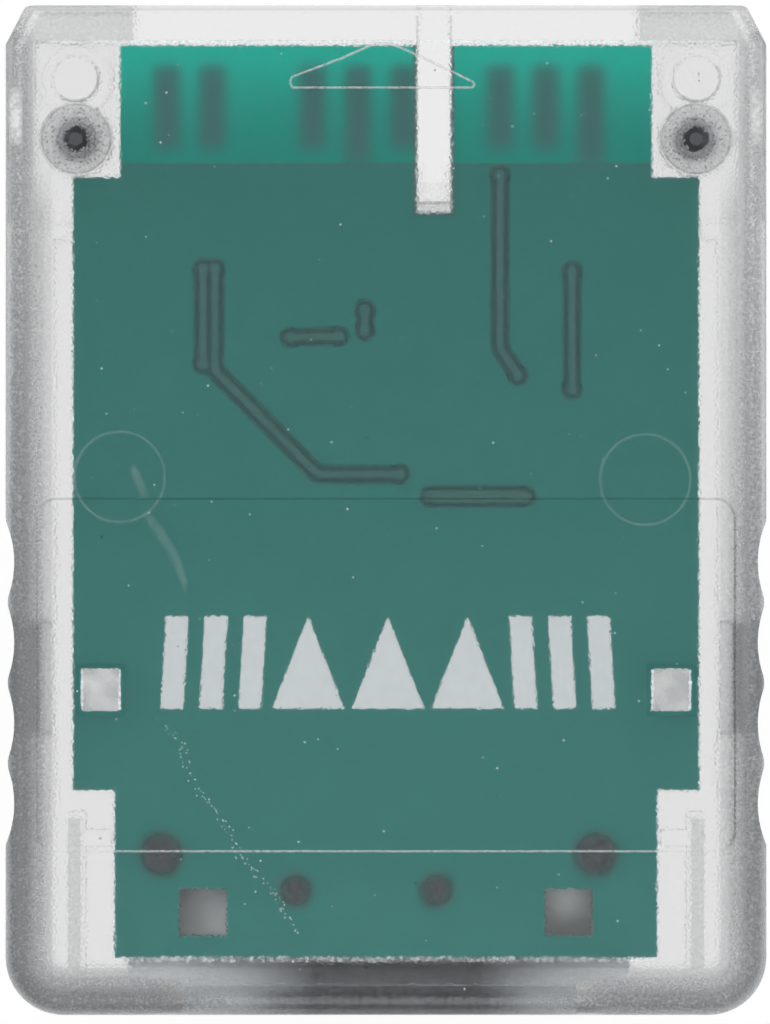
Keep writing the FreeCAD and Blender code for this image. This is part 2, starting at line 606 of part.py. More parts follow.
def back_cover():
    """Clear moulded back half, with the connector window, the key channel, the card mouth and the lip."""
    body = new_body("back_cover")
    cover_blank(body, "0", PARTING, "0")
    hollow_cover(body, "panel", PARTING)

    # Right side, copied to the left: lip, board stops and ribs, screw seat, peg socket and clip pocket.
    lip_foot = add(
        body,
        "lip_foot",
        "panel",
        PARTING,
        rectangle(LIP_INNER, INNER_SIDE, LIP_REAR, LIP_FRONT),
    )
    lip = add(
        body,
        "lip",
        PARTING,
        f"{PARTING} + lip_height",
        rectangle(LIP_INNER, LIP_OUTER, LIP_REAR, LIP_FRONT),
    )
    stop = add(
        body,
        "board_stop",
        "panel",
        f"{PARTING} + lip_height",
        rectangle(f"{BOARD_HALF} + board_side_gap", LIP_INNER, f"{LIP_FRONT} - stop_width", LIP_FRONT),
    )
    post_reach_along = "(post_length / 2 + support_post_gap)"
    support_inner = f"({SHIELD_HALF} + socket_left_shift + shield_tab_length + support_socket_gap)"
    supports = add(
        body,
        "board_supports",
        "panel",
        PARTING,
        rectangle(
            support_inner,
            f"{support_inner} + support_width",
            f"{POST_ALONG} + {post_reach_along}",
            f"{BOARD_SHOULDER} - support_front_gap",
        ),
        rectangle(
            support_inner,
            f"{support_inner} + support_width",
            f"{TAIL_SHOULDER} + support_end_gap",
            f"{POST_ALONG} - {post_reach_along}",
        ),
    )
    screw_seat = add(
        body,
        "screw_seat",
        "panel",
        PARTING,
        circle(BOSS_ACROSS, BOSS_ALONG, "screw_head + 2 * screw_gap + 2 * boss_wall"),
    )
    peg_socket = add(
        body,
        "peg_socket",
        "panel",
        PARTING,
        circle(PEG_ACROSS, PEG_ALONG, "peg_diameter + 2 * peg_fit + 2 * peg_socket_wall"),
    )
    clip_relief = cut(
        body,
        "clip_relief",
        "panel",
        f"{PARTING} + lip_height",
        rectangle(
            LIP_INNER,
            INNER_SIDE,
            f"{CLIP_ALONG} - clip_length / 2 - clip_end_gap",
            f"{CLIP_ALONG} + clip_length / 2 + clip_end_gap",
        ),
    )
    clip_pocket = cut(
        body,
        "clip_pocket",
        f"{CLIP_FOOT} - catch_gap",
        f"{CLIP_FOOT} + hook_height + catch_gap",
        rectangle(
            INNER_SIDE,
            f"{INNER_SIDE} + clip_catch + catch_gap",
            f"{CLIP_ALONG} - clip_length / 2 - catch_gap",
            f"{CLIP_ALONG} + clip_length / 2 + catch_gap",
        ),
    )
    notch_rear = f"({HALF_LENGTH} - notch_setback)"
    notch = cut(
        body,
        "side_notch",
        "0",
        "notch_height",
        rectangle(
            f"{HALF_WIDTH} - notch_depth",
            f"{HALF_WIDTH} + notch_depth",
            notch_rear,
            f"{notch_rear} + notch_length",
        ),
    )
    head_bore = cut(
        body,
        "head_bore",
        "0",
        "screw_seat",
        circle(BOSS_ACROSS, BOSS_ALONG, "screw_head + 2 * screw_gap"),
    )
    shank_bore = cut(
        body,
        "shank_bore",
        "screw_seat",
        PARTING,
        circle(BOSS_ACROSS, BOSS_ALONG, "screw_shank + 2 * screw_gap"),
    )
    peg_bore = cut(
        body,
        "peg_bore",
        f"{PARTING} - peg_reach - peg_end_gap",
        PARTING,
        circle(PEG_ACROSS, PEG_ALONG, "peg_diameter + 2 * peg_fit"),
    )
    mirror(
        body,
        "left_side",
        [
            lip_foot,
            lip,
            stop,
            supports,
            screw_seat,
            peg_socket,
            clip_relief,
            clip_pocket,
            notch,
            head_bore,
            shank_bore,
            peg_bore,
        ],
    )

    # The window walls stand under the rim of the board's tongue, and the key channel has walls of its own.
    add(
        body,
        "window_walls",
        "panel",
        PARTING,
        rectangle(
            f"-{WINDOW_HALF} - window_wall",
            f"{WINDOW_HALF} + window_wall",
            f"{WINDOW_REAR} - window_wall",
            INNER_FRONT,
        ),
    )
    add(
        body,
        "key_walls",
        "panel",
        PARTING,
        rectangle(
            "key_offset - key_width / 2 - key_wall",
            "key_offset + key_width / 2 + key_wall",
            f"{KEY_END} - key_wall",
            WINDOW_REAR,
        ),
    )
    cut(
        body,
        "window",
        "0",
        PARTING,
        rectangle(f"-{WINDOW_HALF}", WINDOW_HALF, WINDOW_REAR, f"{HALF_LENGTH} + front_wall"),
    )
    cut(
        body,
        "key_channel",
        "0",
        PARTING,
        rectangle("key_offset - key_width / 2", "key_offset + key_width / 2", KEY_END, WINDOW_REAR),
    )
    cut(
        body,
        "card_mouth",
        f"{CHANNEL_FLOOR} - mouth_drop",
        PARTING,
        rectangle(
            "-socket_left_shift - flash_card_width / 2 - mouth_gap",
            "-socket_left_shift + flash_card_width / 2 + mouth_gap",
            f"-{HALF_LENGTH} - rear_wall",
            INNER_REAR,
        ),
    )


def circuit_board():
    """Green board with a contact tongue, a key slot, windows for the posts and holes for the socket pegs."""
    body = new_body("circuit_board")
    slot_end = f"{KEY_END} - key_end_gap"
    outline = [
        (f"-{TAIL_HALF}", TAIL_END),
        (TAIL_HALF, TAIL_END),
        (TAIL_HALF, TAIL_SHOULDER),
        (BOARD_HALF, TAIL_SHOULDER),
        (BOARD_HALF, BOARD_SHOULDER),
        (TONGUE_HALF, BOARD_SHOULDER),
        (TONGUE_HALF, BOARD_FRONT),
        (SLOT_RIGHT, BOARD_FRONT),
        (SLOT_RIGHT, slot_end),
        (SLOT_LEFT, slot_end),
        (SLOT_LEFT, BOARD_FRONT),
        (f"-{TONGUE_HALF}", BOARD_FRONT),
        (f"-{TONGUE_HALF}", BOARD_SHOULDER),
        (f"-{BOARD_HALF}", BOARD_SHOULDER),
        (f"-{BOARD_HALF}", TAIL_SHOULDER),
        (f"-{TAIL_HALF}", TAIL_SHOULDER),
    ]
    add(body, "laminate", PARTING, BOARD_TOP, outline)
    windows = cut(
        body,
        "windows",
        PARTING,
        BOARD_TOP,
        block(POST_ACROSS, POST_ALONG, "post_width + 2 * post_gap", "post_length + 2 * post_gap"),
        block("tail_window_offset", TAIL_WINDOW_ALONG, "tail_window_width", "tail_window_length"),
    )
    mirror(body, "left_windows", [windows])
    cut(body, "peg_holes", PARTING, BOARD_TOP, *socket_pegs("2 * socket_peg_fit"))


def socket_pegs(extra):
    """The four pegs that place the socket on the board, wider by a given fit for their holes."""
    large = f"socket_peg_diameter + {extra}"
    small = f"small_peg_diameter + {extra}"
    large_across = f"({RAIL_HALF} - socket_peg_side)"
    large_along = f"({SOCKET_MOUTH} + socket_peg_setback)"
    small_along = f"({SOCKET_MOUTH} + small_peg_setback)"
    return [
        circle(f"-socket_left_shift - {large_across}", large_along, large),
        circle(f"-socket_left_shift + {large_across}", large_along, large),
        circle("-socket_left_shift - small_peg_left", small_along, small),
        circle("-socket_left_shift + small_peg_right", small_along, small),
    ]


def contact_pads():
    """Eight gold plated lands under the tongue: a pair, then three on each side of the key slot.

    The two supply contacts are longer.
    """
    pair = f"(pad_left_margin - {WINDOW_HALF})"
    middle = f"({SLOT_LEFT} - pad_slot_margin)"
    right = f"(({SLOT_RIGHT} + {WINDOW_HALF}) / 2)"
    long_end = f"({WINDOW_REAR} + pad_rear_gap)"
    short_end = f"({long_end} + pad_step)"
    lands = [
        (pair, short_end),
        (f"({pair} + pad_pitch)", short_end),
        (f"({middle} - 2 * pad_pitch)", short_end),
        (f"({middle} - pad_pitch)", long_end),
        (middle, short_end),
        (f"({right} - pad_pitch)", short_end),
        (right, short_end),
        (f"({right} + pad_pitch)", long_end),
    ]
    for number, (across, rear) in enumerate(lands, start=1):
        body = new_body(f"contact_pad_{number}")
        sides = (f"{across} - pad_width / 2", f"{across} + pad_width / 2")
        land = rectangle(*sides, rear, f"{BOARD_FRONT} - pad_front_gap")
        add(body, "land", f"{PARTING} - pad_plating", PARTING, land)


def contact_places():
    """Where the nine spring contacts of the socket stand, across the case."""
    even = [f"({number} * contact_pitch - contact_reach - socket_left_shift)" for number in range(8)]
    return even + [f"({even[-1]} + contact_last_pitch)"]


def socket_base():
    """Black moulded base of the card socket: a plate under the board, rails, a rear block and a tongue."""
    body = new_body("socket_base")
    left = f"(-socket_left_shift - {RAIL_HALF})"
    right = f"(-socket_left_shift + {RAIL_HALF})"
    add(body, "plate", CHANNEL_TOP, PARTING, rectangle(left, right, SOCKET_MOUTH, SOCKET_REAR))
    add(
        body,
        "rails",
        CHANNEL_FLOOR,
        CHANNEL_TOP,
        [
            (left, SOCKET_MOUTH),
            (f"{left} + rail_width", SOCKET_MOUTH),
            (f"{left} + rail_width", BLOCK_FRONT),
            (f"{right} - rail_width", BLOCK_FRONT),
            (f"{right} - rail_width", SOCKET_MOUTH),
            (right, SOCKET_MOUTH),
            (right, SOCKET_REAR),
            (left, SOCKET_REAR),
        ],
    )
    tongue_half = "(flash_card_width / 2 + mouth_gap - mouth_tongue_margin)"
    tongue = rectangle(
        f"-socket_left_shift - {tongue_half}",
        f"{tongue_half} - socket_left_shift",
        f"mouth_tongue_gap - {HALF_LENGTH}",
        SOCKET_MOUTH,
    )
    add(body, "mouth_tongue", CHANNEL_TOP, PARTING, tongue)
    add(body, "pegs", PARTING, f"{BOARD_TOP} - socket_peg_inset", *socket_pegs("0"))

    # A bay under each tail window and a slot for each spring contact.
    bay_inner = "(tail_window_offset - tail_window_width / 2 - bay_margin)"
    bay_outer = "(tail_window_offset + tail_window_width / 2 + bay_margin)"
    bay_front = f"{TAIL_WINDOW_ALONG} + tail_window_length / 2 + bay_margin"
    bay_rear = f"{TAIL_WINDOW_ALONG} - tail_window_length / 2 - bay_margin"
    cut(
        body,
        "bays",
        CHANNEL_TOP,
        PARTING,
        rectangle(f"-{bay_outer}", f"-{bay_inner}", bay_rear, bay_front),
        rectangle(bay_inner, bay_outer, bay_rear, bay_front),
    )
    slot_half = "(contact_width / 2 + contact_slot_gap)"
    arm_slots = []
    tail_slots = []
    for across in contact_places():
        sides = (f"{across} - {slot_half}", f"{across} + {slot_half}")
        arm_slots.append(rectangle(*sides, f"{CONTACT_TIP} - contact_tip_gap", BLOCK_FRONT))
        tail_slots.append(rectangle(*sides, BLOCK_FRONT, f"{SOCKET_REAR} + rear_block"))
    cut(body, "arm_slots", CHANNEL_TOP, PARTING, *arm_slots)
    cut(body, "tail_slots", f"{PARTING} - contact_sheet", PARTING, *tail_slots)

    # Pockets in the rails, and slots through the rear block, for the two leaf switches.
    pocket_rear = f"{BLOCK_FRONT} - switch_run - 2 * switch_slope - contact_tip_gap"
    pockets = []
    slots = []
    for side in (-1, 1):
        inner = f"-socket_left_shift + {side} * {CHANNEL_HALF}"
        outer = f"-socket_left_shift + {side} * ({CHANNEL_HALF} + switch_pocket)"
        pockets.append(rectangle(inner, outer, pocket_rear, BLOCK_FRONT))
        near_face = f"{inner} + {side} * (switch_inset - switch_slot_gap)"
        far_face = f"{inner} + {side} * (switch_inset + contact_sheet + switch_slot_gap)"
        slots.append(rectangle(near_face, far_face, BLOCK_FRONT, f"{SOCKET_REAR} + rear_block"))
    cut(body, "switch_pockets", CHANNEL_FLOOR, PARTING, *pockets)
    cut(body, "switch_slots", f"{CHANNEL_FLOOR} + switch_floor_gap - switch_slot_gap", PARTING, *slots)


def socket_shield():
    """Folded steel cover of the socket, with solder tabs and two springs that press on the card."""
    body = new_body("socket_shield")
    left = f"(-socket_left_shift - {SHIELD_HALF})"
    right = f"(-socket_left_shift + {SHIELD_HALF})"
    floor = f"({CHANNEL_FLOOR} - shield_sheet)"
    rim = f"({PARTING} - shield_board_gap)"
    folded_sheet = add(
        body,
        "folded_sheet",
        f"-{SOCKET_MOUTH}",
        f"socket_length - {SOCKET_MOUTH}",
        [
            (left, rim),
            (left, floor),
            (right, floor),
            (right, rim),
            (f"{right} - shield_sheet", rim),
            (f"{right} - shield_sheet", CHANNEL_FLOOR),
            (f"{left} + shield_sheet", CHANNEL_FLOOR),
            (f"{left} + shield_sheet", rim),
        ],
        plane="XZ_Plane",
    )
    folded_sheet.Reversed = True
    tabs = []
    for edge, side in ((left, -1), (right, 1)):
        for spread in ("0", "shield_tab_spread"):
            tab_front = f"{SOCKET_REAR} - shield_tab_front - {spread}"
            tip = f"{edge} + {side} * shield_tab_length"
            root = f"{edge} - {side} * shield_sheet"
            tabs.append(rectangle(root, tip, f"{tab_front} - shield_tab_width", tab_front))
    add(body, "solder_tabs", f"{PARTING} - shield_sheet", PARTING, *tabs)

    # Each spring stays joined to the sheet at its far end, with a slot round its other three sides.
    tip = f"({SOCKET_MOUTH} + shield_spring_start)"
    root = f"({tip} + shield_spring_length)"
    slots = []
    for side in (-1, 1):
        middle = f"(-socket_left_shift + {side} * shield_spring_offset)"
        half = "(shield_spring_width / 2)"
        slots.append(
            [
                (f"{middle} - {half} - shield_spring_slot", root),
                (f"{middle} - {half} - shield_spring_slot", f"{tip} - shield_spring_slot"),
                (f"{middle} + {half} + shield_spring_slot", f"{tip} - shield_spring_slot"),
                (f"{middle} + {half} + shield_spring_slot", root),
                (f"{middle} + {half}", root),
                (f"{middle} + {half}", tip),
                (f"{middle} - {half}", tip),
                (f"{middle} - {half}", root),
            ]
        )
    cut(body, "spring_slots", floor, CHANNEL_FLOOR, *slots)
    cut(
        body,
        "thumb_cut",
        floor,
        CHANNEL_FLOOR,
        rectangle(
            "-socket_left_shift - shield_lip_width / 2",
            "-socket_left_shift + shield_lip_width / 2",
            f"{SOCKET_MOUTH} - shield_lip_depth",
            f"{SOCKET_MOUTH} + shield_lip_depth",
        ),
    )


def socket_contacts():
    """Nine bronze strips: solder tail under the board, arm down into the card's way, and a bent tip."""
    top = PARTING
    bend_start = f"({BLOCK_FRONT} - contact_arm)"
    arm_end = f"({top} - contact_drop)"
    upper_line = [
        (f"{SOCKET_REAR} + contact_tail", top),
        (BLOCK_FRONT, top),
        (bend_start, arm_end),
        (f"{bend_start} - contact_bend", f"{arm_end} - contact_bend_drop"),
        (CONTACT_TIP, arm_end),
    ]
    lower_line = [(along, f"{height} - contact_sheet") for along, height in reversed(upper_line)]
    for number, across in enumerate(contact_places(), start=1):
        body = new_body(f"socket_contact_{number}")
        add(
            body,
            "strip",
            f"{across} - contact_width / 2",
            f"{across} + contact_width / 2",
            upper_line + lower_line,
            plane="YZ_Plane",
        )


def switch_spring(label, side):
    """A bronze leaf beside the card, which the card's edge pushes against the shield."""
    body = new_body(label)
    floor = f"({CHANNEL_FLOOR} + switch_floor_gap)"
    rest = f"({CHANNEL_HALF} + switch_inset)"
    bend = "(flash_card_width / 2 + flash_card_gap - switch_bulge)"
    run_end = f"({BLOCK_FRONT} - switch_run)"
    inner_line = [
        (rest, f"{SOCKET_REAR} + contact_tail"),
        (rest, run_end),
        (bend, f"{run_end} - switch_slope"),
        (rest, f"{run_end} - 2 * switch_slope"),
    ]
    outer_line = [(f"{across} + contact_sheet", along) for across, along in reversed(inner_line)]
    outline = inner_line + outer_line
    strip = [(f"-socket_left_shift + {side} * ({across})", along) for across, along in outline]
    add(body, "strip", floor, f"{floor} + switch_height", strip)
    tail = rectangle(
        f"-socket_left_shift + {side} * {rest}",
        f"-socket_left_shift + {side} * ({rest} + contact_sheet)",
        f"{SOCKET_REAR} + contact_tail / 2",
        f"{SOCKET_REAR} + contact_tail",
    )
    add(body, "tail", f"{floor} + switch_height", PARTING, tail)


def chip(label, across, along, width, length, height):
    """A chip part soldered under the board."""
    add(new_body(label), "chip", f"{PARTING} - {height}", PARTING, block(across, along, width, length))


def case_screws():
    """Two cross-headed screws, driven from the back face into the bosses of the front cover."""
    body = doc.addObject("PartDesign::Body", "screw")
    head_foot = "(screw_seat - screw_head_height)"
    shank = "(screw_shank / 2)"
    half_section = profile(
        body,
        "half_section",
        f"-{BOSS_ALONG}",
        [
            [
                (BOSS_ACROSS, head_foot),
                (f"{BOSS_ACROSS} + screw_head / 2 - screw_head_bevel", head_foot),
                (f"{BOSS_ACROSS} + screw_head / 2", f"{head_foot} + screw_head_bevel"),
                (f"{BOSS_ACROSS} + screw_head / 2", "screw_seat"),
                (f"{BOSS_ACROSS} + {shank}", "screw_seat"),
                (f"{BOSS_ACROSS} + {shank}", f"{SCREW_TIP} - screw_point"),
                (f"{BOSS_ACROSS} + {shank} / 2", SCREW_TIP),
                (BOSS_ACROSS, SCREW_TIP),
            ]
        ],
        plane="XZ_Plane",
    )
    turned = body.newObject("PartDesign::Revolution", "screw_turned")
    turned.Profile = half_section
    turned.ReferenceAxis = (half_section, ["Edge8"])
    cross = (("screw_recess", "screw_recess_slot"), ("screw_recess_slot", "screw_recess"))
    for number, (width, length) in enumerate(cross, start=1):
        slot = block(BOSS_ACROSS, BOSS_ALONG, width, length)
        cut(body, f"recess_{number}", head_foot, f"{head_foot} + screw_recess_depth", slot)
    left_screw = doc.addObject("Part::Mirroring", "left_screw")
    left_screw.Source = body
    left_screw.Normal = FreeCAD.Vector(1, 0, 0)
    pair = doc.addObject("Part::Compound", "case_screws")
    pair.Links = [body, left_screw]
    subparts.append(pair)


front_cover()
back_cover()
circuit_board()
contact_pads()
socket_base()
socket_shield()
socket_contacts()
switch_spring("card_detect_spring", -1)
switch_spring("write_protect_spring", 1)
for index in range(4):
    chip(
        f"resistor_{index + 1}",
        f"({index} * resistor_pitch - resistor_reach)",
        f"({SOCKET_REAR} + resistor_lead)",
        "resistor_width",
        "resistor_length",
        "resistor_height",
    )
chip(
    "bypass_capacitor",
    "capacitor_offset",
    f"({SOCKET_REAR} + capacitor_lead)",
    "capacitor_width",
    "capacitor_length",
    "capacitor_height",
)
case_screws()

doc.recompute()
failed = [item.Label for item in doc.Objects if "Invalid" in item.State or "Error" in item.State]
if failed:
    raise RuntimeError(f"not built: {failed}")
for subpart in subparts:
    if subpart.Shape.isNull() or not subpart.Shape.isValid():
        raise RuntimeError(f"no valid shape: {subpart.Label}")

os.makedirs("parts", exist_ok=True)
for subpart in subparts:
    subpart.Shape.exportStep(os.path.join("parts", f"{subpart.Label}.step"))
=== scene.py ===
import math

import bpy
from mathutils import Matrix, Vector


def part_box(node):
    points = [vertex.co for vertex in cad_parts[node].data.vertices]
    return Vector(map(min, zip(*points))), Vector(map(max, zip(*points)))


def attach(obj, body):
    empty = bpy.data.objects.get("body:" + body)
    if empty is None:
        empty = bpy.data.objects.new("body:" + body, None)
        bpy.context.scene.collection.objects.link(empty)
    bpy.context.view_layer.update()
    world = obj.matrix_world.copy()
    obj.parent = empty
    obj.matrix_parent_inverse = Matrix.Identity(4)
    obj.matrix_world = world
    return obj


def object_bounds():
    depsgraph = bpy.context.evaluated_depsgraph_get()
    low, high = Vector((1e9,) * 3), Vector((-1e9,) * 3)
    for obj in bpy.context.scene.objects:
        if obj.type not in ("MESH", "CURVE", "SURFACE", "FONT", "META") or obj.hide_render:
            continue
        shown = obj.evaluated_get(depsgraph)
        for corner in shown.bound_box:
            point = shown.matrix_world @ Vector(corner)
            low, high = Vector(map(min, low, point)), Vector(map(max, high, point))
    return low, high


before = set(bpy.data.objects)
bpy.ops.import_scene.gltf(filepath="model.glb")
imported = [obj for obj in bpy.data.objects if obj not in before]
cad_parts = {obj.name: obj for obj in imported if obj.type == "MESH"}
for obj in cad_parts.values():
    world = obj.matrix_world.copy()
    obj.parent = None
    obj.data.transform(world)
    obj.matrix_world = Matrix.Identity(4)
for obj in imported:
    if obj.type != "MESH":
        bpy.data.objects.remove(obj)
cad_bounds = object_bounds()

# Back cover
# The lower half of the case, moulded in clear plastic with a fine grain that frosts it a little.
# It lies on the floor, and the flash card socket and the board rest in it.
MM = 0.001


def linear(code):
    """The linear colour of a six-digit sRGB code."""
    channels = [int(code[start:start + 2], 16) / 255 for start in (0, 2, 4)]
    return [c / 12.92 if c <= 0.04045 else ((c + 0.055) / 1.055) ** 2.4 for c in channels] + [1.0]


def new_material(name):
    """An empty material and its node tree."""
    made = bpy.data.materials.new(name)
    made.use_nodes = True
    made.node_tree.nodes.clear()
    return made, made.node_tree


def node(tree, kind, inputs=None, output=0, **settings):
    """Add a node, set it up, link or set its inputs, and give one of its outputs, or all of it for None."""
    made = tree.nodes.new(kind)
    for name, setting in settings.items():
        setattr(made, name, setting)
    for name, source in (inputs or {}).items():
        if isinstance(source, bpy.types.NodeSocket):
            tree.links.new(source, made.inputs[name])
        else:
            made.inputs[name].default_value = source
    return made if output is None else made.outputs[output]


def finish_material(tree, shader):
    """Link a shader to the material's output."""
    node(tree, "ShaderNodeOutputMaterial", {"Surface": shader}, output=None)


def paint(names, material):
    """Give CAD nodes a material."""
    for name in names:
        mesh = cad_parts[name].data
        mesh.materials.clear()
        mesh.materials.append(material)


# Clear styrene plastic, which lamps shine straight through. The long walls and the rear wall look frosted, most of all
# a little inside their outer edge, and are tinted grey there: painted shade for the dark bands of the rounded walls.
# The grain is drawn 0.17 mm across, coarser than the real one, so that it shows.
HALF_WIDTH = cad_bounds[1].x
HALF_LENGTH = cad_bounds[1].y
REAR_CORNER = 3.2 * MM
KEY_MIDDLE = 2.65 * MM
BOSS = (17.1, 20.5)
FROST_STOPS = (
    (0.17, 0.0), (0.22, 0.18), (0.31, 0.22), (0.38, 0.36), (0.52, 0.40), (0.58, 0.50), (0.66, 0.70),
    (0.73, 0.86), (0.79, 0.96), (0.86, 0.68), (0.90, 0.50), (0.93, 0.34), (0.97, 0.18), (1.0, 0.06),
)
clear_plastic, tree = new_material("clear_frosted_plastic")
place = node(tree, "ShaderNodeTexCoord", output="Object")
axes = node(tree, "ShaderNodeSeparateXYZ", {0: place}, output=None)
across, along = axes.outputs["X"], axes.outputs["Y"]
aside = node(tree, "ShaderNodeMath", {0: across}, operation="ABSOLUTE")
behind = node(tree, "ShaderNodeMath", {0: along, 1: -1.0}, operation="MULTIPLY")

# How far out a point lies on the rounded long edges and rear corners, as a share, and the frost that goes with it,
# whose grey tint is painted shade.
folded = node(tree, "ShaderNodeCombineXYZ", {"X": aside, "Y": behind})
edge_start = (HALF_WIDTH - REAR_CORNER, HALF_LENGTH - REAR_CORNER, 0)
beyond = node(tree, "ShaderNodeVectorMath", {0: folded, 1: edge_start}, operation="SUBTRACT")
outside = node(tree, "ShaderNodeVectorMath", {0: beyond, 1: (0, 0, 0)}, operation="MAXIMUM")
outward = node(tree, "ShaderNodeVectorMath", {0: outside}, output="Value", operation="LENGTH")
edge_share = node(tree, "ShaderNodeMath", {0: outward, 1: REAR_CORNER}, operation="DIVIDE")
edge_ramp = node(tree, "ShaderNodeValToRGB", {"Fac": edge_share}, output=None)
marks = edge_ramp.color_ramp.elements
marks[0].position, marks[1].position = FROST_STOPS[0][0], FROST_STOPS[-1][0]
for share, _ in FROST_STOPS[1:-1]:
    marks.new(share)
for mark, (_, level) in zip(marks, FROST_STOPS):
    mark.color = (level, level, level, 1.0)
frost = edge_ramp.outputs["Color"]

# The inner half of the walls is clear beside the tongue, and so is the middle of the rear wall. The frost grows
# weaker towards the connector end, and weaker to the right: painted light, as the right wall is the better lit.
inner_half = node(tree, "ShaderNodeMath", {0: edge_share, 1: 0.52}, operation="LESS_THAN")
beside_tongue = node(tree, "ShaderNodeMapRange", {
    "Value": along, "From Min": 16.5 * MM, "From Max": 19.5 * MM, "To Min": 0.0, "To Max": 0.85,
})
at_rear = node(tree, "ShaderNodeMapRange", {"Value": along, "From Min": -24.4 * MM, "From Max": -25.2 * MM})
mid_rear = node(tree, "ShaderNodeMapRange", {
    "Value": aside, "From Min": 13 * MM, "From Max": 6 * MM, "To Min": 0.0, "To Max": 0.92,
})
for first, second in ((inner_half, beside_tongue), (at_rear, mid_rear)):
    cleared = node(tree, "ShaderNodeMath", {0: first, 1: second}, operation="MULTIPLY")
    kept = node(tree, "ShaderNodeMath", {0: 1.0, 1: cleared}, operation="SUBTRACT")
    frost = node(tree, "ShaderNodeMath", {0: frost, 1: kept}, operation="MULTIPLY")
rearward = node(tree, "ShaderNodeMapRange", {
    "Value": along, "From Min": 24 * MM, "From Max": -14 * MM, "To Min": 0.64, "To Max": 1.32,
})
leftward = node(tree, "ShaderNodeMapRange", {
    "Value": across, "From Min": HALF_WIDTH, "From Max": -HALF_WIDTH, "To Min": 0.78, "To Max": 1.0,
})
for strength in (rearward, leftward):
    frost = node(tree, "ShaderNodeMath", {0: frost, 1: strength}, operation="MULTIPLY")

# Places with a frost of their own, whose grey tint is painted shade, at the key channel as thin shadow lines: middle
# and half size across, the same along, in millimetres, and the strength.
off_key = node(tree, "ShaderNodeMath", {0: across, 1: KEY_MIDDLE}, operation="SUBTRACT")
from_key = node(tree, "ShaderNodeMath", {0: off_key}, operation="ABSOLUTE")
for level, x, half_x, y, half_y, strength in (
    (aside, 17.5, 3.5, 26.9, 1.0, 0.16),  # the front corners
    (aside, 17.2, 0.35, -21.2, 4.2, 0.20),  # the ribs beside the tail
    (from_key, 0.93, 0.06, 26.5, 0.8, 0.35),  # the sides of the key channel
    (from_key, 0.0, 0.95, 16.95, 0.09, 0.55),  # the end of the key channel
    (from_key, 0.0, 0.95, 17.3, 0.8, 0.10),  # the floor of the key channel
):
    inside_x = node(tree, "ShaderNodeMath", {0: level, 1: x * MM, 2: half_x * MM}, operation="COMPARE")
    inside_y = node(tree, "ShaderNodeMath", {0: along, 1: y * MM, 2: half_y * MM}, operation="COMPARE")
    inside = node(tree, "ShaderNodeMath", {0: inside_x, 1: inside_y}, operation="MULTIPLY")
    patch = node(tree, "ShaderNodeMath", {0: inside, 1: strength}, operation="MULTIPLY")
    frost = node(tree, "ShaderNodeMath", {0: frost, 1: patch}, operation="MAXIMUM")
flat = node(tree, "ShaderNodeCombineXYZ", {"X": aside, "Y": along})
boss_axis = (BOSS[0] * MM, BOSS[1] * MM, 0)
from_boss = node(tree, "ShaderNodeVectorMath", {0: flat, 1: boss_axis}, output="Value", operation="DISTANCE")
in_boss = node(tree, "ShaderNodeMath", {0: from_boss, 1: 1.3 * MM, 2: 0.55 * MM}, operation="COMPARE")
boss_frost = node(tree, "ShaderNodeMath", {0: in_boss, 1: 0.26}, operation="MULTIPLY")
frost = node(tree, "ShaderNodeMath", {0: frost, 1: boss_frost}, operation="MAXIMUM")

# The plastic is tinted grey where it is frosted, at the edge of the rear wall and along the front edge: painted shade
# for the dark bands of these edges, darkest in the middle of the rear edge, over the card mouth.
blotch = node(tree, "ShaderNodeTexNoise", {"Vector": place, "Scale": 1 / (0.17 * MM), "Detail": 1.0})
grain = node(tree, "ShaderNodeMapRange", {
    "Value": blotch, "From Min": 0.3, "From Max": 0.7, "To Min": 0.45, "To Max": 1.55,
})
last_edge = node(tree, "ShaderNodeMapRange", {
    "Value": along, "From Min": 1.5 * MM - HALF_LENGTH, "From Max": 1.1 * MM - HALF_LENGTH, "To Max": 0.52,
})
painted_shade = node(tree, "ShaderNodeMath", {0: last_edge, 1: mid_rear}, operation="MULTIPLY")
for least in (0.03, frost):
    painted_shade = node(tree, "ShaderNodeMath", {0: painted_shade, 1: least}, operation="MAXIMUM")
painted_shade = node(tree, "ShaderNodeMath", {0: painted_shade, 1: grain}, operation="MULTIPLY")
in_lead = node(tree, "ShaderNodeMath", {
    0: along, 1: HALF_LENGTH - 0.18 * MM, 2: 0.12 * MM,
}, operation="COMPARE")
lead_shade = node(tree, "ShaderNodeMath", {0: in_lead, 1: 0.42}, operation="MULTIPLY")
painted_shade = node(tree, "ShaderNodeMath", {0: painted_shade, 1: lead_shade}, operation="MAXIMUM", use_clamp=True)
frost = node(tree, "ShaderNodeMath", {0: frost, 1: grain}, operation="MULTIPLY", use_clamp=True)
wave = node(tree, "ShaderNodeTexNoise", {"Vector": place, "Scale": 1 / (0.15 * MM), "Detail": 0.0})
body = node(tree, "ShaderNodeBsdfPrincipled", {
    "Base Color": node(tree, "ShaderNodeMix", {
        0: painted_shade, 6: linear("FFFFFF"), 7: linear("9A9B9C"),
    }, output=2, data_type="RGBA"),
    "Roughness": node(tree, "ShaderNodeMath", {0: frost, 1: 0.25, 2: 0.16}, operation="MULTIPLY_ADD"),
    "IOR": 1.55,
    "Transmission Weight": node(tree, "ShaderNodeMath", {0: frost, 1: -0.35, 2: 1.0}, operation="MULTIPLY_ADD"),
    "Normal": node(tree, "ShaderNodeBump", {"Height": wave, "Strength": 1.0, "Distance": 0.013 * MM}),
})
passing = node(tree, "ShaderNodeBsdfTransparent", {"Color": linear("E4E8EA")})
shadow_ray = node(tree, "ShaderNodeLightPath", output="Is Shadow Ray")
finish_material(tree, node(tree, "ShaderNodeMixShader", {0: shadow_ray, 1: body, 2: passing}))
paint(["back_cover"], clear_plastic)
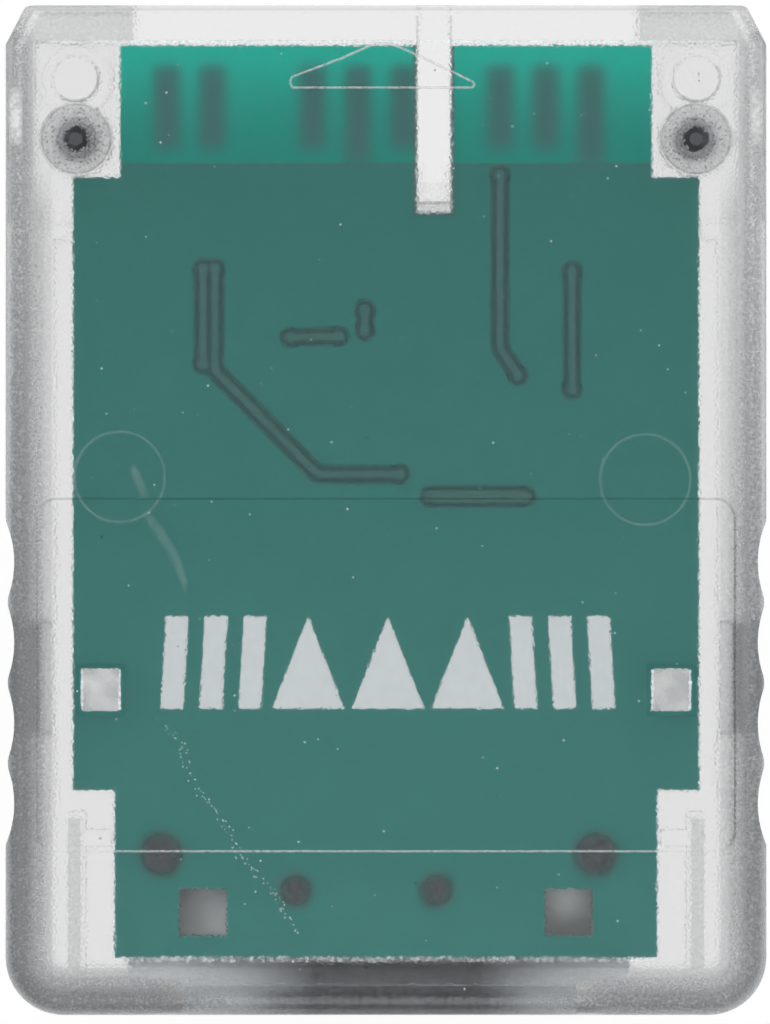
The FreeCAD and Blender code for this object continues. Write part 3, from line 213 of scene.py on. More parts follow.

# Socket base
# The black insulator of the card socket, moulded in a glass-filled plastic, with four pegs through the board.
# It is matt, with pale specks of glass fibre drawn coarser than they are. Towards the ends of the card mouth it turns
# pale, painted light over the shade of the board, and a line of pale specks runs across the mouth.
black_plastic, tree = new_material("black_socket_plastic")
place = node(tree, "ShaderNodeTexCoord", output="Object")
axes = node(tree, "ShaderNodeSeparateXYZ", {0: place}, output=None)
across, along = axes.outputs["X"], axes.outputs["Y"]
blotch = node(tree, "ShaderNodeTexNoise", {"Vector": place, "Scale": 1 / (0.16 * MM), "Detail": 1.0})
fibres = node(tree, "ShaderNodeMapRange", {"Value": blotch, "From Min": 0.35, "From Max": 0.65})
bare = node(tree, "ShaderNodeMix", {
    0: fibres, 6: linear("202123"), 7: linear("4C4E51"),
}, output=2, data_type="RGBA")
# Painted light towards the ends of the card mouth, where the board shades the plate, and pale specks along one line.
at_mouth = node(tree, "ShaderNodeMapRange", {"Value": along, "From Min": -23.9 * MM, "From Max": -24.5 * MM})
off_middle = node(tree, "ShaderNodeMath", {0: across, 1: 0.6 * MM}, operation="SUBTRACT")
from_middle = node(tree, "ShaderNodeMath", {0: off_middle}, operation="ABSOLUTE")
to_ends = node(tree, "ShaderNodeMapRange", {"Value": from_middle, "From Min": 4.5 * MM, "From Max": 13 * MM})
end_light = node(tree, "ShaderNodeMath", {0: at_mouth, 1: to_ends}, operation="MULTIPLY")
on_line = node(tree, "ShaderNodeMath", {0: along, 1: -24.9 * MM, 2: 0.16 * MM}, operation="COMPARE")
sparse = node(tree, "ShaderNodeMapRange", {"Value": blotch, "From Min": 0.35, "From Max": 0.65, "To Max": 0.4})
line_specks = node(tree, "ShaderNodeMath", {0: on_line, 1: sparse}, operation="MULTIPLY")
pale_share = node(tree, "ShaderNodeMath", {0: end_light, 1: line_specks}, operation="MAXIMUM")
tone = node(tree, "ShaderNodeMix", {0: pale_share, 6: bare, 7: linear("DADCDE")}, output=2, data_type="RGBA")
finish_material(tree, node(tree, "ShaderNodeBsdfPrincipled", {"Base Color": tone, "Roughness": 0.5, "IOR": 1.6}))
paint(["socket_base"], black_plastic)


# Socket shield
# Stainless steel sheet, pressed and folded round the base, with four tabs soldered to the board.
# It is dull from the press, with pale specks drawn coarser than they are, so that they show.
def mottled_material(name, first, second, size, detail=2.0, contrast=(0.0, 1.0), **finish):
    """An opaque material whose colour wanders between two tones, in blotches of a given size."""
    made, tree = new_material(name)
    place = node(tree, "ShaderNodeTexCoord", output="Object")
    blotch = node(tree, "ShaderNodeTexNoise", {"Vector": place, "Scale": 1 / size, "Detail": detail})
    share = node(tree, "ShaderNodeMapRange", {"Value": blotch, "From Min": contrast[0], "From Max": contrast[1]})
    tone = node(tree, "ShaderNodeMix", {
        0: share, 6: linear(first), 7: linear(second),
    }, output=2, data_type="RGBA")
    finish_material(tree, node(tree, "ShaderNodeBsdfPrincipled", {"Base Color": tone, **finish}))
    return made


paint(["socket_shield"], mottled_material(
    "stainless_sheet", "D8DBDD", "F0F2F3", 0.16 * MM, 1.0, (0.3, 0.7), Metallic=0.9, Roughness=0.6,
))

# Socket springs
# Nine contact strips and two leaf switches, pressed from thin bronze and plated, so they shine a warm yellow.
# Their tails are soldered to the board.
bronze = mottled_material("plated_bronze", "B98B45", "D2A95F", 0.4 * MM, Metallic=1.0, Roughness=0.3)
paint([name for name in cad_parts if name.startswith("socket_contact") or name.endswith("_spring")], bronze)

# Circuit board
# Glass-epoxy laminate with green resist over the copper on both faces. The tongue has no copper on its front face,
# so light from below comes through it, and the contact lands on its back show as soft dark bars.
board_low, board_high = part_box("circuit_board")
FACE = board_high.z

# Resist is a glossy lacquer, a little paler towards the tail. The cut edges show the yellowish laminate.
resist, tree = new_material("green_resist_over_copper")
place = node(tree, "ShaderNodeTexCoord", output="Object")
axes = node(tree, "ShaderNodeSeparateXYZ", {0: place}, output=None)
tailward = node(tree, "ShaderNodeMapRange", {
    "Value": axes.outputs["Y"], "From Min": 20 * MM, "From Max": -24 * MM,
})
field = node(tree, "ShaderNodeMix", {
    0: tailward, 6: linear("2C7169"), 7: linear("3A7E77"),
}, output=2, data_type="RGBA")
blotch = node(tree, "ShaderNodeTexNoise", {"Vector": place, "Scale": 1 / (1.6 * MM), "Detail": 4.0})
shade = node(tree, "ShaderNodeMath", {0: blotch, 1: 0.16}, operation="MULTIPLY")
mottle = node(tree, "ShaderNodeMix", {0: shade, 6: field, 7: linear("123F3A")}, output=2, data_type="RGBA")
in_core = node(tree, "ShaderNodeMath", {
    0: axes.outputs["Z"],
    1: (board_low.z + board_high.z) / 2,
    2: (board_high.z - board_low.z) / 2 - 0.03 * MM,
}, operation="COMPARE")
tone = node(tree, "ShaderNodeMix", {0: in_core, 6: mottle, 7: linear("9FA67C")}, output=2, data_type="RGBA")
finish_material(tree, node(tree, "ShaderNodeBsdfPrincipled", {"Base Color": tone, "Roughness": 0.22, "IOR": 1.5}))
paint(["circuit_board"], resist)


def new_object(name, content):
    """An object in the scene, made of a mesh, a lamp or a camera."""
    made = bpy.data.objects.new(name, content)
    bpy.context.scene.collection.objects.link(made)
    return made


def new_piece(name, vertices, faces, material):
    """A mesh piece that goes with the part."""
    mesh = bpy.data.meshes.new(name)
    mesh.from_pydata(vertices, [], faces)
    mesh.materials.append(material)
    made = new_object(name, mesh)
    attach(made, "root")
    return made


# The bare laminate of the tongue, from its front edge to the edge of the copper, in two fields beside the key slot.
# The shadows of the lands are blurred by the depth of the laminate, and spread a little past the lands.
COPPER_EDGE = 19.1 * MM
SLOT = (1.67 * MM, 3.63 * MM)
SLOT_END = 16.45 * MM
TONGUE = 14.7 * MM
TONGUE_FIELDS = ((-TONGUE, SLOT[0]), (SLOT[1], TONGUE))
CELL = 0.12 * MM
SOFT = 0.36 * MM
SPREAD = 0.13 * MM
lands = [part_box(name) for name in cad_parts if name.startswith("contact_pad")]


def soft_step(distance):
    """0 outside an edge, 1 inside it, with a blur."""
    return 0.5 + 0.5 * math.tanh(distance / SOFT)


def land_shadow(x, y, low, high):
    """The depth of one land's shadow at a point of the tongue."""
    shadow_across = soft_step(x - low.x + SPREAD) * soft_step(high.x - x + SPREAD)
    return shadow_across * soft_step(y - low.y) * soft_step(high.y - y)


def grid_faces(first, rows, columns):
    """The faces of a grid of points, counted row by row from its first point."""
    corners = [first + row * (columns + 1) + column for row in range(rows) for column in range(columns)]
    return [(corner, corner + 1, corner + columns + 2, corner + columns + 1) for corner in corners]


vertices, faces, shadows = [], [], []
for left, right in TONGUE_FIELDS:
    columns = max(2, round((right - left) / CELL))
    rows = max(2, round((board_high.y - COPPER_EDGE) / CELL))
    first = len(vertices)
    for row in range(rows + 1):
        for column in range(columns + 1):
            x = left + (right - left) * column / columns
            y = COPPER_EDGE + (board_high.y - COPPER_EDGE) * row / rows
            vertices.append((x, y, FACE + 0.01 * MM))
            shadows.append(max(land_shadow(x, y, low, high) for low, high in lands))
    faces += grid_faces(first, rows, columns)

# The tongue's colour is painted light and shadow: brighter towards its front edge, for the light that comes through the
# laminate, and darker in soft bars over the lands.
laminate, tree = new_material("green_resist_on_bare_laminate")
place = node(tree, "ShaderNodeTexCoord", output="Object")
axes = node(tree, "ShaderNodeSeparateXYZ", {0: place}, output=None)
forward = node(tree, "ShaderNodeMapRange", {
    "Value": axes.outputs["Y"], "From Min": COPPER_EDGE, "From Max": board_high.y,
})
light = node(tree, "ShaderNodeMath", {0: forward, 1: forward}, operation="MULTIPLY")
glow = node(tree, "ShaderNodeMix", {
    0: light, 6: linear("088275"), 7: linear("0BB49F"),
}, output=2, data_type="RGBA")
depth = node(tree, "ShaderNodeAttribute", output="Fac", attribute_name="land_shadow")
tone = node(tree, "ShaderNodeMix", {0: depth, 6: glow, 7: linear("3A6664")}, output=2, data_type="RGBA")
finish_material(tree, node(tree, "ShaderNodeBsdfPrincipled", {"Base Color": tone, "Roughness": 0.22, "IOR": 1.5}))
tongue_resist = new_piece("tongue_resist", vertices, faces, laminate)
tongue_resist.data.attributes.new("land_shadow", "FLOAT", "POINT").data.foreach_set("value", shadows)

# Traces on the front face
# Copper tracks under the resist: each lies in a darker gap etched out of the copper round it.
# Their lines in millimetres; the films lie a few micrometres above one another.
TRACES = (
    ("pair_left", ((-10.11, 13.35), (-10.11, 8.07))),
    ("pair_right", ((-9.45, 13.35), (-9.45, 7.73), (-3.78, 1.99), (0.77, 1.99))),
    ("short_link", ((-5.28, 9.56), (-2.60, 9.61))),
    ("stub", ((-1.16, 11.10), (-1.16, 9.94))),
    ("supply", ((6.30, 18.50), (6.30, 8.95), (7.29, 7.46))),
    ("ground_link", ((10.28, 13.20), (10.28, 6.69))),
    ("jumper", ((2.43, 0.77), (7.68, 0.77))),
)


def new_group(name, inputs):
    """A node group with named inputs, their identifiers, and their sockets inside the group."""
    group = bpy.data.node_groups.new(name, "GeometryNodeTree")
    identifiers = {}
    for given, kind in inputs.items():
        socket = group.interface.new_socket(given, in_out="INPUT", socket_type=f"NodeSocket{kind}")
        identifiers[given] = socket.identifier
    group.interface.new_socket("Mesh", in_out="OUTPUT", socket_type="NodeSocketGeometry")
    return group, identifiers, node(group, "NodeGroupInput", output=None).outputs


def finish_group(group, geometry, material):
    """Make a group's geometry real, give it a material and link it to the output."""
    real = node(group, "GeometryNodeRealizeInstances", {"Geometry": geometry})
    finished = node(group, "GeometryNodeSetMaterial", {"Geometry": real, "Material": material})
    node(group, "NodeGroupOutput", {"Mesh": finished}, output=None)


def ribbon_nodes():
    """A node group that turns an open line into a flat ribbon with round ends."""
    group, identifiers, given = new_group("ribbon", {
        "Line": "Geometry", "Half width": "Float", "End radius": "Float", "Material": "Material",
    })
    line = node(group, "GeometryNodeMeshToCurve", {"Mesh": given["Line"]})
    bends = node(group, "GeometryNodeFilletCurve", {"Curve": line, "Radius": 0.4 * MM, "Count": 4}, mode="POLY")
    flat = node(group, "GeometryNodeSetCurveNormal", {"Curve": bends}, mode="Z_UP")
    back = node(group, "ShaderNodeMath", {0: given["Half width"], 1: -1.0}, operation="MULTIPLY")
    start = node(group, "ShaderNodeCombineXYZ", {"X": back})
    end = node(group, "ShaderNodeCombineXYZ", {"X": given["Half width"]})
    section = node(group, "GeometryNodeCurvePrimitiveLine", {"Start": start, "End": end})
    strip = node(group, "GeometryNodeCurveToMesh", {"Curve": flat, "Profile Curve": section})
    ends = node(group, "GeometryNodeCurveEndpointSelection")
    disc = node(group, "GeometryNodeMeshCircle", {
        "Vertices": 20, "Radius": given["End radius"],
    }, fill_type="NGON")
    caps = node(group, "GeometryNodeInstanceOnPoints", {"Points": bends, "Selection": ends, "Instance": disc})
    lifted = node(group, "GeometryNodeTranslateInstances", {
        "Instances": caps, "Translation": (0, 0, 0.003 * MM),
    })
    joined = node(group, "GeometryNodeJoinGeometry", output=None)
    group.links.new(strip, joined.inputs[0])
    group.links.new(lifted, joined.inputs[0])
    finish_group(group, joined.outputs[0], given["Material"])
    return group, identifiers


def grow(name, source, maker, values):
    """Add a plain mesh piece that a node group, given with its identifiers, makes from a source mesh."""
    group, identifiers = maker
    holder = new_object(f"{name}_source", source)
    modifier = holder.modifiers.new(group.name, "NODES")
    modifier.node_group = group
    for given, value in values.items():
        modifier[identifiers[given]] = value
    bpy.context.view_layer.update()
    mesh = bpy.data.meshes.new_from_object(holder.evaluated_get(bpy.context.evaluated_depsgraph_get()))
    holder.modifiers.clear()
    bpy.data.objects.remove(holder)
    mesh.name = name
    made = new_object(name, mesh)
    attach(made, "root")


def line_mesh(name, points, height):
    """An open line through points given in millimetres."""
    mesh = bpy.data.meshes.new(f"{name}_line")
    corners = [(x * MM, y * MM, height) for x, y in points]
    mesh.from_pydata(corners, [(number, number + 1) for number in range(len(corners) - 1)], [])
    return mesh


def film_material(name, code, size, cover=None, grain=(0.25, 0.7, 0.35), **finish):
    """A thin film of one colour, which covers a share of what lies under it: a number, or the piece's own "cover".

    Its grains have a given size. Grain gives the noise levels where the film is thinnest and full, and its least share.
    """
    made, tree = new_material(name)
    place = node(tree, "ShaderNodeTexCoord", output="Object")
    blotch = node(tree, "ShaderNodeTexNoise", {"Vector": place, "Scale": 1 / size, "Detail": 1.0})
    low, high, least = grain
    full = 1.0 if cover is None else cover
    alpha = node(tree, "ShaderNodeMapRange", {
        "Value": blotch, "From Min": low, "From Max": high, "To Min": least * full, "To Max": full,
    })
    if cover is None:
        share = node(tree, "ShaderNodeAttribute", output="Fac", attribute_name="cover")
        alpha = node(tree, "ShaderNodeMath", {0: alpha, 1: share}, operation="MULTIPLY")
    finish_material(tree, node(tree, "ShaderNodeBsdfPrincipled", {
        "Base Color": linear(code), "Roughness": 0.5, "Alpha": alpha, **finish,
    }))
    return made


# Resist sags into the gaps and shows dark there, and a little paler over the tracks.
edge_resist = film_material(
    "green_resist_sagging_into_gap", "33625D", 0.25 * MM, 0.55, (0.3, 0.7, 0.4), Roughness=0.22, IOR=1.5,
)
gap_resist = mottled_material(
    "green_resist_over_etched_gap", "233F3F", "335A58", 0.25 * MM, Roughness=0.25, IOR=1.5,
)
track_resist = mottled_material("green_resist_over_track", "3B605E", "456D6A", 0.7 * MM, Roughness=0.22, IOR=1.5)
ribbon = ribbon_nodes()
for number, (name, points) in enumerate(TRACES):
    wide = name == "jumper"
    for part, height, half, end, finish in (
        ("edge", 0.003, 0.64 if wide else 0.56, 0.64 if wide else 0.63, edge_resist),
        ("gap", 0.014, 0.52 if wide else 0.42, 0.52 if wide else 0.50, gap_resist),
        ("track", 0.025, 0.34 if wide else 0.18, 0.34 if wide else 0.29, track_resist),
    ):
        grow(f"{name}_{part}", line_mesh(name, points, FACE + (height + 0.001 * number) * MM), ribbon, {
            "Half width": half * MM, "End radius": end * MM, "Material": finish,
        })


def round_points(x, y, radius, count):
    """Points on a circle, in the units of its middle and radius."""
    angles = [math.tau * number / count for number in range(count)]
    return [(x + radius * math.cos(angle), y + radius * math.sin(angle)) for angle in angles]


def set_cover(piece, levels):
    """Store how much a film covers at each of the piece's points."""
    piece.data.attributes.new("cover", "FLOAT", "POINT").data.foreach_set("value", levels)


# The rims of the four peg holes look soft from above: resist runs over the edge, and a thin painted shade lies round
# it.
# Places and radii of the holes in millimetres, then the steps out from the rim with the cover there.
PEG_HOLES = ((-12.4, -19.0, 1.11), (11.6, -19.0, 1.11), (-5.0, -21.0, 0.81), (2.8, -21.0, 0.81))
ROUND = 40
NO_GRAIN = (0.25, 0.7, 1.0)
for name, code, steps in (
    ("resist_run", "3A7A74", ((-0.45, 0.0), (-0.30, 0.08), (-0.15, 0.24), (0.0, 0.48))),
    ("hole_shade", "4F5558", ((0.0, 0.50), (0.15, 0.26), (0.30, 0.11), (0.52, 0.0))),
):
    vertices, faces, cover = [], [], []
    for x, y, radius in PEG_HOLES:
        first = len(vertices)
        for reach, level in steps:
            circle = round_points(x, y, radius + reach, ROUND)
            vertices += [(across * MM, along * MM, FACE + 0.012 * MM) for across, along in circle]
            cover += [level] * ROUND
        for ring in range(len(steps) - 1):
            for n in range(ROUND):
                near, beyond = first + ROUND * ring + n, first + ROUND * ring + (n + 1) % ROUND
                faces.append((near, beyond, beyond + ROUND, near + ROUND))
    film = film_material(f"thin_{name}", code, 0.3 * MM, grain=NO_GRAIN, Roughness=0.4)
    set_cover(new_piece(name, vertices, faces, film), cover)

# A pale film over the steel in the two windows of the tail, a painted highlight, brightest at one place in each.
# Middle of the window and the brightest place, in millimetres, and how far the highlight reaches from there.
WINDOW_HALF = 1.28
CELLS = 10
WINDOW_GLEAM_COVER = 0.37
WINDOW_GLEAM = ((-10.08, -22.17, -9.3, -22.6, 2.4), (10.08, -22.17, 10.0, -21.55, 1.6))
vertices, faces, cover = [], [], []
for x, y, bright_x, bright_y, reach in WINDOW_GLEAM:
    first = len(vertices)
    for row in range(CELLS + 1):
        for column in range(CELLS + 1):
            across = x + WINDOW_HALF * (2 * column / CELLS - 1)
            along = y + WINDOW_HALF * (2 * row / CELLS - 1)
            vertices.append((across * MM, along * MM, FACE - 0.02 * MM))
            cover.append(WINDOW_GLEAM_COVER * max(0.0, 1 - math.hypot(across - bright_x, along - bright_y) / reach))
    faces += grid_faces(first, CELLS, CELLS)
steel_gleam = film_material("painted_steel_gleam", "C6C9CA", 0.3 * MM, grain=NO_GRAIN, Roughness=0.4)
set_cover(new_piece("window_gleam", vertices, faces, steel_gleam), cover)

# The plugged holes at the ends of the tracks, and the edge of the copper across the tongue.
PLUG = 0.10
vertices, faces = [], []
for points in (path for name, path in TRACES if name != "jumper"):
    for x, y in (points[0], points[-1]):
        first = len(vertices)
        circle = round_points(x, y, PLUG, 10)
        vertices += [(across * MM, along * MM, FACE + 0.038 * MM) for across, along in circle]
        faces.append(tuple(range(first, len(vertices))))
new_piece("track_plugs", vertices, faces, resist)
EDGE_HALF = 0.06 * MM
vertices, faces = [], []
for left, right in TONGUE_FIELDS:
    first = len(vertices)
    for x, reach in ((left, -EDGE_HALF), (right, -EDGE_HALF), (right, EDGE_HALF), (left, EDGE_HALF)):
        vertices.append((x, COPPER_EDGE + reach, FACE + 0.016 * MM))
    faces.append((first, first + 1, first + 2, first + 3))
new_piece("copper_edge", vertices, faces, track_resist)

# The routed edge of the board: painted shade round the key slot, and a white fringe along the outline, partly glass
# fibres and partly painted highlight. The fringe stands out farthest at the end of the tail.
SLOT_SHADE_OUT, SLOT_SHADE_IN = 0.16 * MM, 0.09 * MM
slot_shade = film_material("painted_slot_edge_shade", "47605F", 0.17 * MM, 0.7, (0.3, 0.6, 0.3), Roughness=0.6)
slot_line = (
    (SLOT[0], board_high.y, 1, 0), (SLOT[0], SLOT_END, 1, 1),
    (SLOT[1], SLOT_END, -1, 1), (SLOT[1], board_high.y, -1, 0),
)
vertices, faces = [], []
for number, (x, y, inward, up) in enumerate(slot_line):
    vertices.append((x - inward * SLOT_SHADE_OUT, y - up * SLOT_SHADE_OUT, FACE + 0.045 * MM))
    vertices.append((x + inward * SLOT_SHADE_IN, y + up * SLOT_SHADE_IN, FACE + 0.045 * MM))
    if number:
        faces.append((2 * number - 2, 2 * number, 2 * number + 1, 2 * number - 1))
new_piece("slot_edge_shade", vertices, faces, slot_shade)
FRINGE, TAIL_FRINGE, FRINGE_IN = 0.08 * MM, 0.24 * MM, -0.05 * MM
TAIL = -24 * MM
fibre = film_material("bare_glass_fibre", "F1F4F3", 0.16 * MM, 0.7, (0.42, 0.65, 0.0), Roughness=0.7)
vertices, faces = [], []
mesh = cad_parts["circuit_board"].data
for face in mesh.polygons:
    corners = [mesh.vertices[number].co for number in face.vertices]
    ends = [corner for corner in corners if corner.z > FACE - 0.01 * MM]
    if abs(face.normal.z) < 0.1 and len(ends) == 2 and (ends[1] - ends[0]).length > 3 * MM:
        first = len(vertices)
        fringe = TAIL_FRINGE if face.normal.y < -0.9 and ends[0].y < TAIL else FRINGE
        for end, reach in ((0, FRINGE_IN), (1, FRINGE_IN), (1, fringe), (0, fringe)):
            corner = ends[end] + face.normal * reach
            vertices.append((corner.x, corner.y, FACE + 0.03 * MM))
        faces.append((first, first + 1, first + 2, first + 3))
new_piece("fibre_edge", vertices, faces, fibre)

# Printed mark on the front face
# A plain ornament in pale grey ink, screen printed on the resist: three arrowheads between slanted bars.
# Sizes in millimetres.
ink = mottled_material("pale_grey_ink", "CACDCD", "D6D9D9", 0.5 * MM, Roughness=0.6)
MARK_MIDDLE = 0.10
MARK_REAR = -10.95
MARK_FRONT = -5.85
HEAD_STEP, HEAD_HALF = 4.4, 2.0
BAR_START, BAR_STEP, BAR_WIDTH, BAR_SLANT = 7.0, 2.15, 1.25, 0.30
vertices, faces = [], []


def print_shape(points):
    """One printed shape, from its corners in millimetres."""
    first = len(vertices)
    vertices.extend((x * MM, y * MM, FACE + 0.02 * MM) for x, y in points)
    faces.append(tuple(range(first, first + len(points))))


for place in (-HEAD_STEP, 0.0, HEAD_STEP):
    middle = MARK_MIDDLE + place
    print_shape(((middle - HEAD_HALF, MARK_REAR), (middle + HEAD_HALF, MARK_REAR), (middle, MARK_FRONT)))
for side in (-1, 1):
    for number in range(3):
        near = BAR_START + BAR_STEP * number
        far = near + BAR_WIDTH
        bar = [(near, MARK_REAR), (far, MARK_REAR), (far - BAR_SLANT, MARK_FRONT), (near - BAR_SLANT, MARK_FRONT)]
        points = [(MARK_MIDDLE + side * x, y) for x, y in bar]
        print_shape(points if side > 0 else points[::-1])
new_piece("printed_mark", vertices, faces, ink)

# Contact lands
# Eight lands on the back of the tongue, copper plated with nickel and hard gold, which shines evenly.
# The console's contacts slide onto them.
gold = mottled_material("hard_gold_plating", "D9AE4E", "E6C46C", 0.8 * MM, Metallic=1.0, Roughness=0.24)
paint([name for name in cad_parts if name.startswith("contact_pad")], gold)

# Chip parts
# Four resistors in black glass coat and a tan ceramic capacitor, soldered to the back of the board.
# The glass has a slight gloss, and the ceramic is matt.
RESISTORS = [f"resistor_{number}" for number in range(1, 5)]
paint(RESISTORS, mottled_material("black_glass_coat", "131416", "1E2023", 0.3 * MM, Roughness=0.35))
paint(["bypass_capacitor"], mottled_material("tan_ceramic", "A98762", "BB9A74", 0.3 * MM, Roughness=0.5))

# Solder
# Tinned ends and fillets of solder at the chip parts, and mounds of it on the tails of the spring contacts.
# It has set bright, with a soft gloss.
solder = mottled_material("tin_solder", "B4B7BA", "D5D7D9", 0.3 * MM, Metallic=1.0, Roughness=0.28)
SKIN = 0.015 * MM
TINNED = 0.32 * MM
FILLET = 0.25 * MM
SOLDER_TOP = board_low.z - 0.002 * MM
vertices, faces = [], []


def mound(low, high, slope):
    """A flat-topped heap that hangs from a plane and narrows downwards by a slope on each side."""
    first = len(vertices)
    for height, inset in ((high[2], 0.0), (low[2], slope)):
        vertices.extend((
            (low[0] + inset, low[1] + inset, height), (high[0] - inset, low[1] + inset, height),
            (high[0] - inset, high[1] - inset, height), (low[0] + inset, high[1] - inset, height),
        ))
    faces.append(tuple(range(first + 4, first + 8)))
    faces.extend((first + n, first + (n + 1) % 4, first + 4 + (n + 1) % 4, first + 4 + n) for n in range(4))


for name in (*RESISTORS, "bypass_capacitor"):
    low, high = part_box(name)
    for near, far, foot in ((low.y, low.y + TINNED, low.y - FILLET), (high.y - TINNED, high.y, high.y + FILLET)):
        mound((low.x - SKIN, near - SKIN, low.z - SKIN), (high.x + SKIN, far + SKIN, SOLDER_TOP), 0.0)
        half_way = (low.z + board_low.z) / 2
        mound((low.x, min(near, foot), half_way), (high.x, max(far, foot), SOLDER_TOP), 0.1 * MM)
for number in range(1, 10):
    low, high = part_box(f"socket_contact_{number}")
    mound(
        (low.x - 0.2 * MM, high.y - 1.0 * MM, board_low.z - 0.3 * MM),
        (high.x + 0.2 * MM, high.y + 0.3 * MM, SOLDER_TOP), 0.18 * MM,
    )
new_piece("solder", vertices, faces, solder)

# Front cover
# The upper half of the case, in the same clear plastic, held down by the snap clips at the sides and two screws.
# Its face has a sunk label field, a raised outline of an arrowhead, marks left by the mould and by use, and painted
# highlights and shade.
paint(["front_cover"], clear_plastic)
TOP = cad_bounds[1].z
PANEL_BACK = TOP - 1.22 * MM
LABEL_FLOOR = TOP - 0.25 * MM
LABEL_SIDE = HALF_WIDTH - 1.7 * MM
LABEL_FRONT = 0.7 * MM
LABEL_REAR = -18.85 * MM
LABEL_CORNER = 1.1 * MM
ABOVE = 0.006 * MM


def turn(x, y, start):
    """Points of a quarter round of the label field, with the way each one faces."""
    for step in range(7):
        angle = math.radians(start + 15 * step)
        cosine, sine = math.cos(angle), math.sin(angle)
        yield x + LABEL_CORNER * cosine, y + LABEL_CORNER * sine, -sine, cosine


# The foot of the wall round the label field, a narrow slope, with painted light and shade. The rear one faces the light
# and has a painted highlight over the board; the front one and the side ones have painted shade, the right one most.
inset_x = LABEL_SIDE - LABEL_CORNER
inset_front = LABEL_FRONT - LABEL_CORNER
inset_rear = LABEL_REAR + LABEL_CORNER
rim = [
    *turn(inset_x, inset_front, 0), *turn(-inset_x, inset_front, 90),
    *turn(-inset_x, inset_rear, 180), *turn(inset_x, inset_rear, 270),
]
FOOT_WIDTH = 0.12 * MM
middle_y = (LABEL_FRONT + LABEL_REAR) / 2
shrink_x = 1 - FOOT_WIDTH / LABEL_SIDE
shrink_y = 1 - FOOT_WIDTH / (LABEL_FRONT - middle_y)
REAR_START, REAR_END = 20, 25
rim[REAR_START + 1:REAR_START + 1] = [(x * MM, LABEL_REAR, 1, 0) for x in (-17, -14.5, 14.5, 17)]
HIGHLIGHT_SIDE = 15 * MM
count = len(rim)
for name, code, strength, segments in (
    ("rim_highlight", "F4FAF9", 0.62, range(REAR_START, REAR_END)),
    ("dark_edge", "2A3D3B", 0.36, (*range(REAR_END, count), *range(REAR_START))),
):
    vertices, cover = [], []
    for x, y, facing, rightward in rim:
        vertices.append((x, y, LABEL_FLOOR + 0.12 * MM))
        vertices.append((x * shrink_x, middle_y + (y - middle_y) * shrink_y, LABEL_FLOOR + 0.01 * MM))
        if name == "rim_highlight":
            level = 1.0 if abs(x) < HIGHLIGHT_SIDE else 0.12
        else:
            sides = 1.5 * max(0.0, rightward) ** 2, 0.5 * max(0.0, -rightward) ** 2
            level = max(max(0.0, -facing) ** 2, *sides)
        cover += [strength * level] * 2
    faces = [(2 * n, 2 * ((n + 1) % count), 2 * ((n + 1) % count) + 1, 2 * n + 1) for n in segments]
    film = film_material(f"plastic_{name}", code, 0.2 * MM)
    set_cover(new_piece(name, vertices, faces, film), cover)


def bead_nodes():
    """A node group that lays a thin round bead along a closed line."""
    group, identifiers, given = new_group("bead", {"Line": "Geometry", "Radius": "Float", "Material": "Material"})
    line = node(group, "GeometryNodeMeshToCurve", {"Mesh": given["Line"]})
    section = node(group, "GeometryNodeCurvePrimitiveCircle", {"Resolution": 8, "Radius": given["Radius"]})
    tube = node(group, "GeometryNodeCurveToMesh", {"Curve": line, "Profile Curve": section})
    finish_group(group, tube, given["Material"])
    return group, identifiers


def loop_mesh(name, points, height):
    """A closed line through points given in millimetres."""
    mesh = bpy.data.meshes.new(f"{name}_loop")
    count = len(points)
    corners = [(x * MM, y * MM, height) for x, y in points]
    mesh.from_pydata(corners, [(n, (n + 1) % count) for n in range(count)], [])
    return mesh


# The arrowhead that shows the way in, with a painted highlight along its outline, and the rings left by two ejector
# pins inside the panel.
RING = 45
bead = bead_nodes()
ARROW = (
    (-5.15, 23.31), (-5.28, 23.55), (-5.20, 23.90), (-2.51, 24.90), (-1.16, 25.50), (-0.70, 25.67), (-0.28, 25.74),
    (0.25, 25.70), (0.77, 25.52), (1.71, 25.11), (3.26, 24.38), (4.80, 23.62), (4.88, 23.45), (4.72, 23.31),
)
arrow_highlight = film_material("plastic_bead_painted_highlight", "F0F4F3", 0.3 * MM, 0.42)
grow("insertion_arrow", loop_mesh("insertion_arrow", ARROW, TOP), bead, {
    "Radius": 0.075 * MM, "Material": arrow_highlight,
})
ring_scuff = film_material("plastic_pin_ring", "DCE6E4", 0.3 * MM, 0.07)
PIN_RADIUS = 2.5
for name, across, along in (("left", -14.7, 1.85), ("right", 14.3, 1.7)):
    ring = round_points(across, along, PIN_RADIUS, RING)
    grow(f"{name}_pin_ring", loop_mesh(name, ring, TOP - 1.3 * MM), bead, {
        "Radius": 0.09 * MM, "Material": ring_scuff,
    })

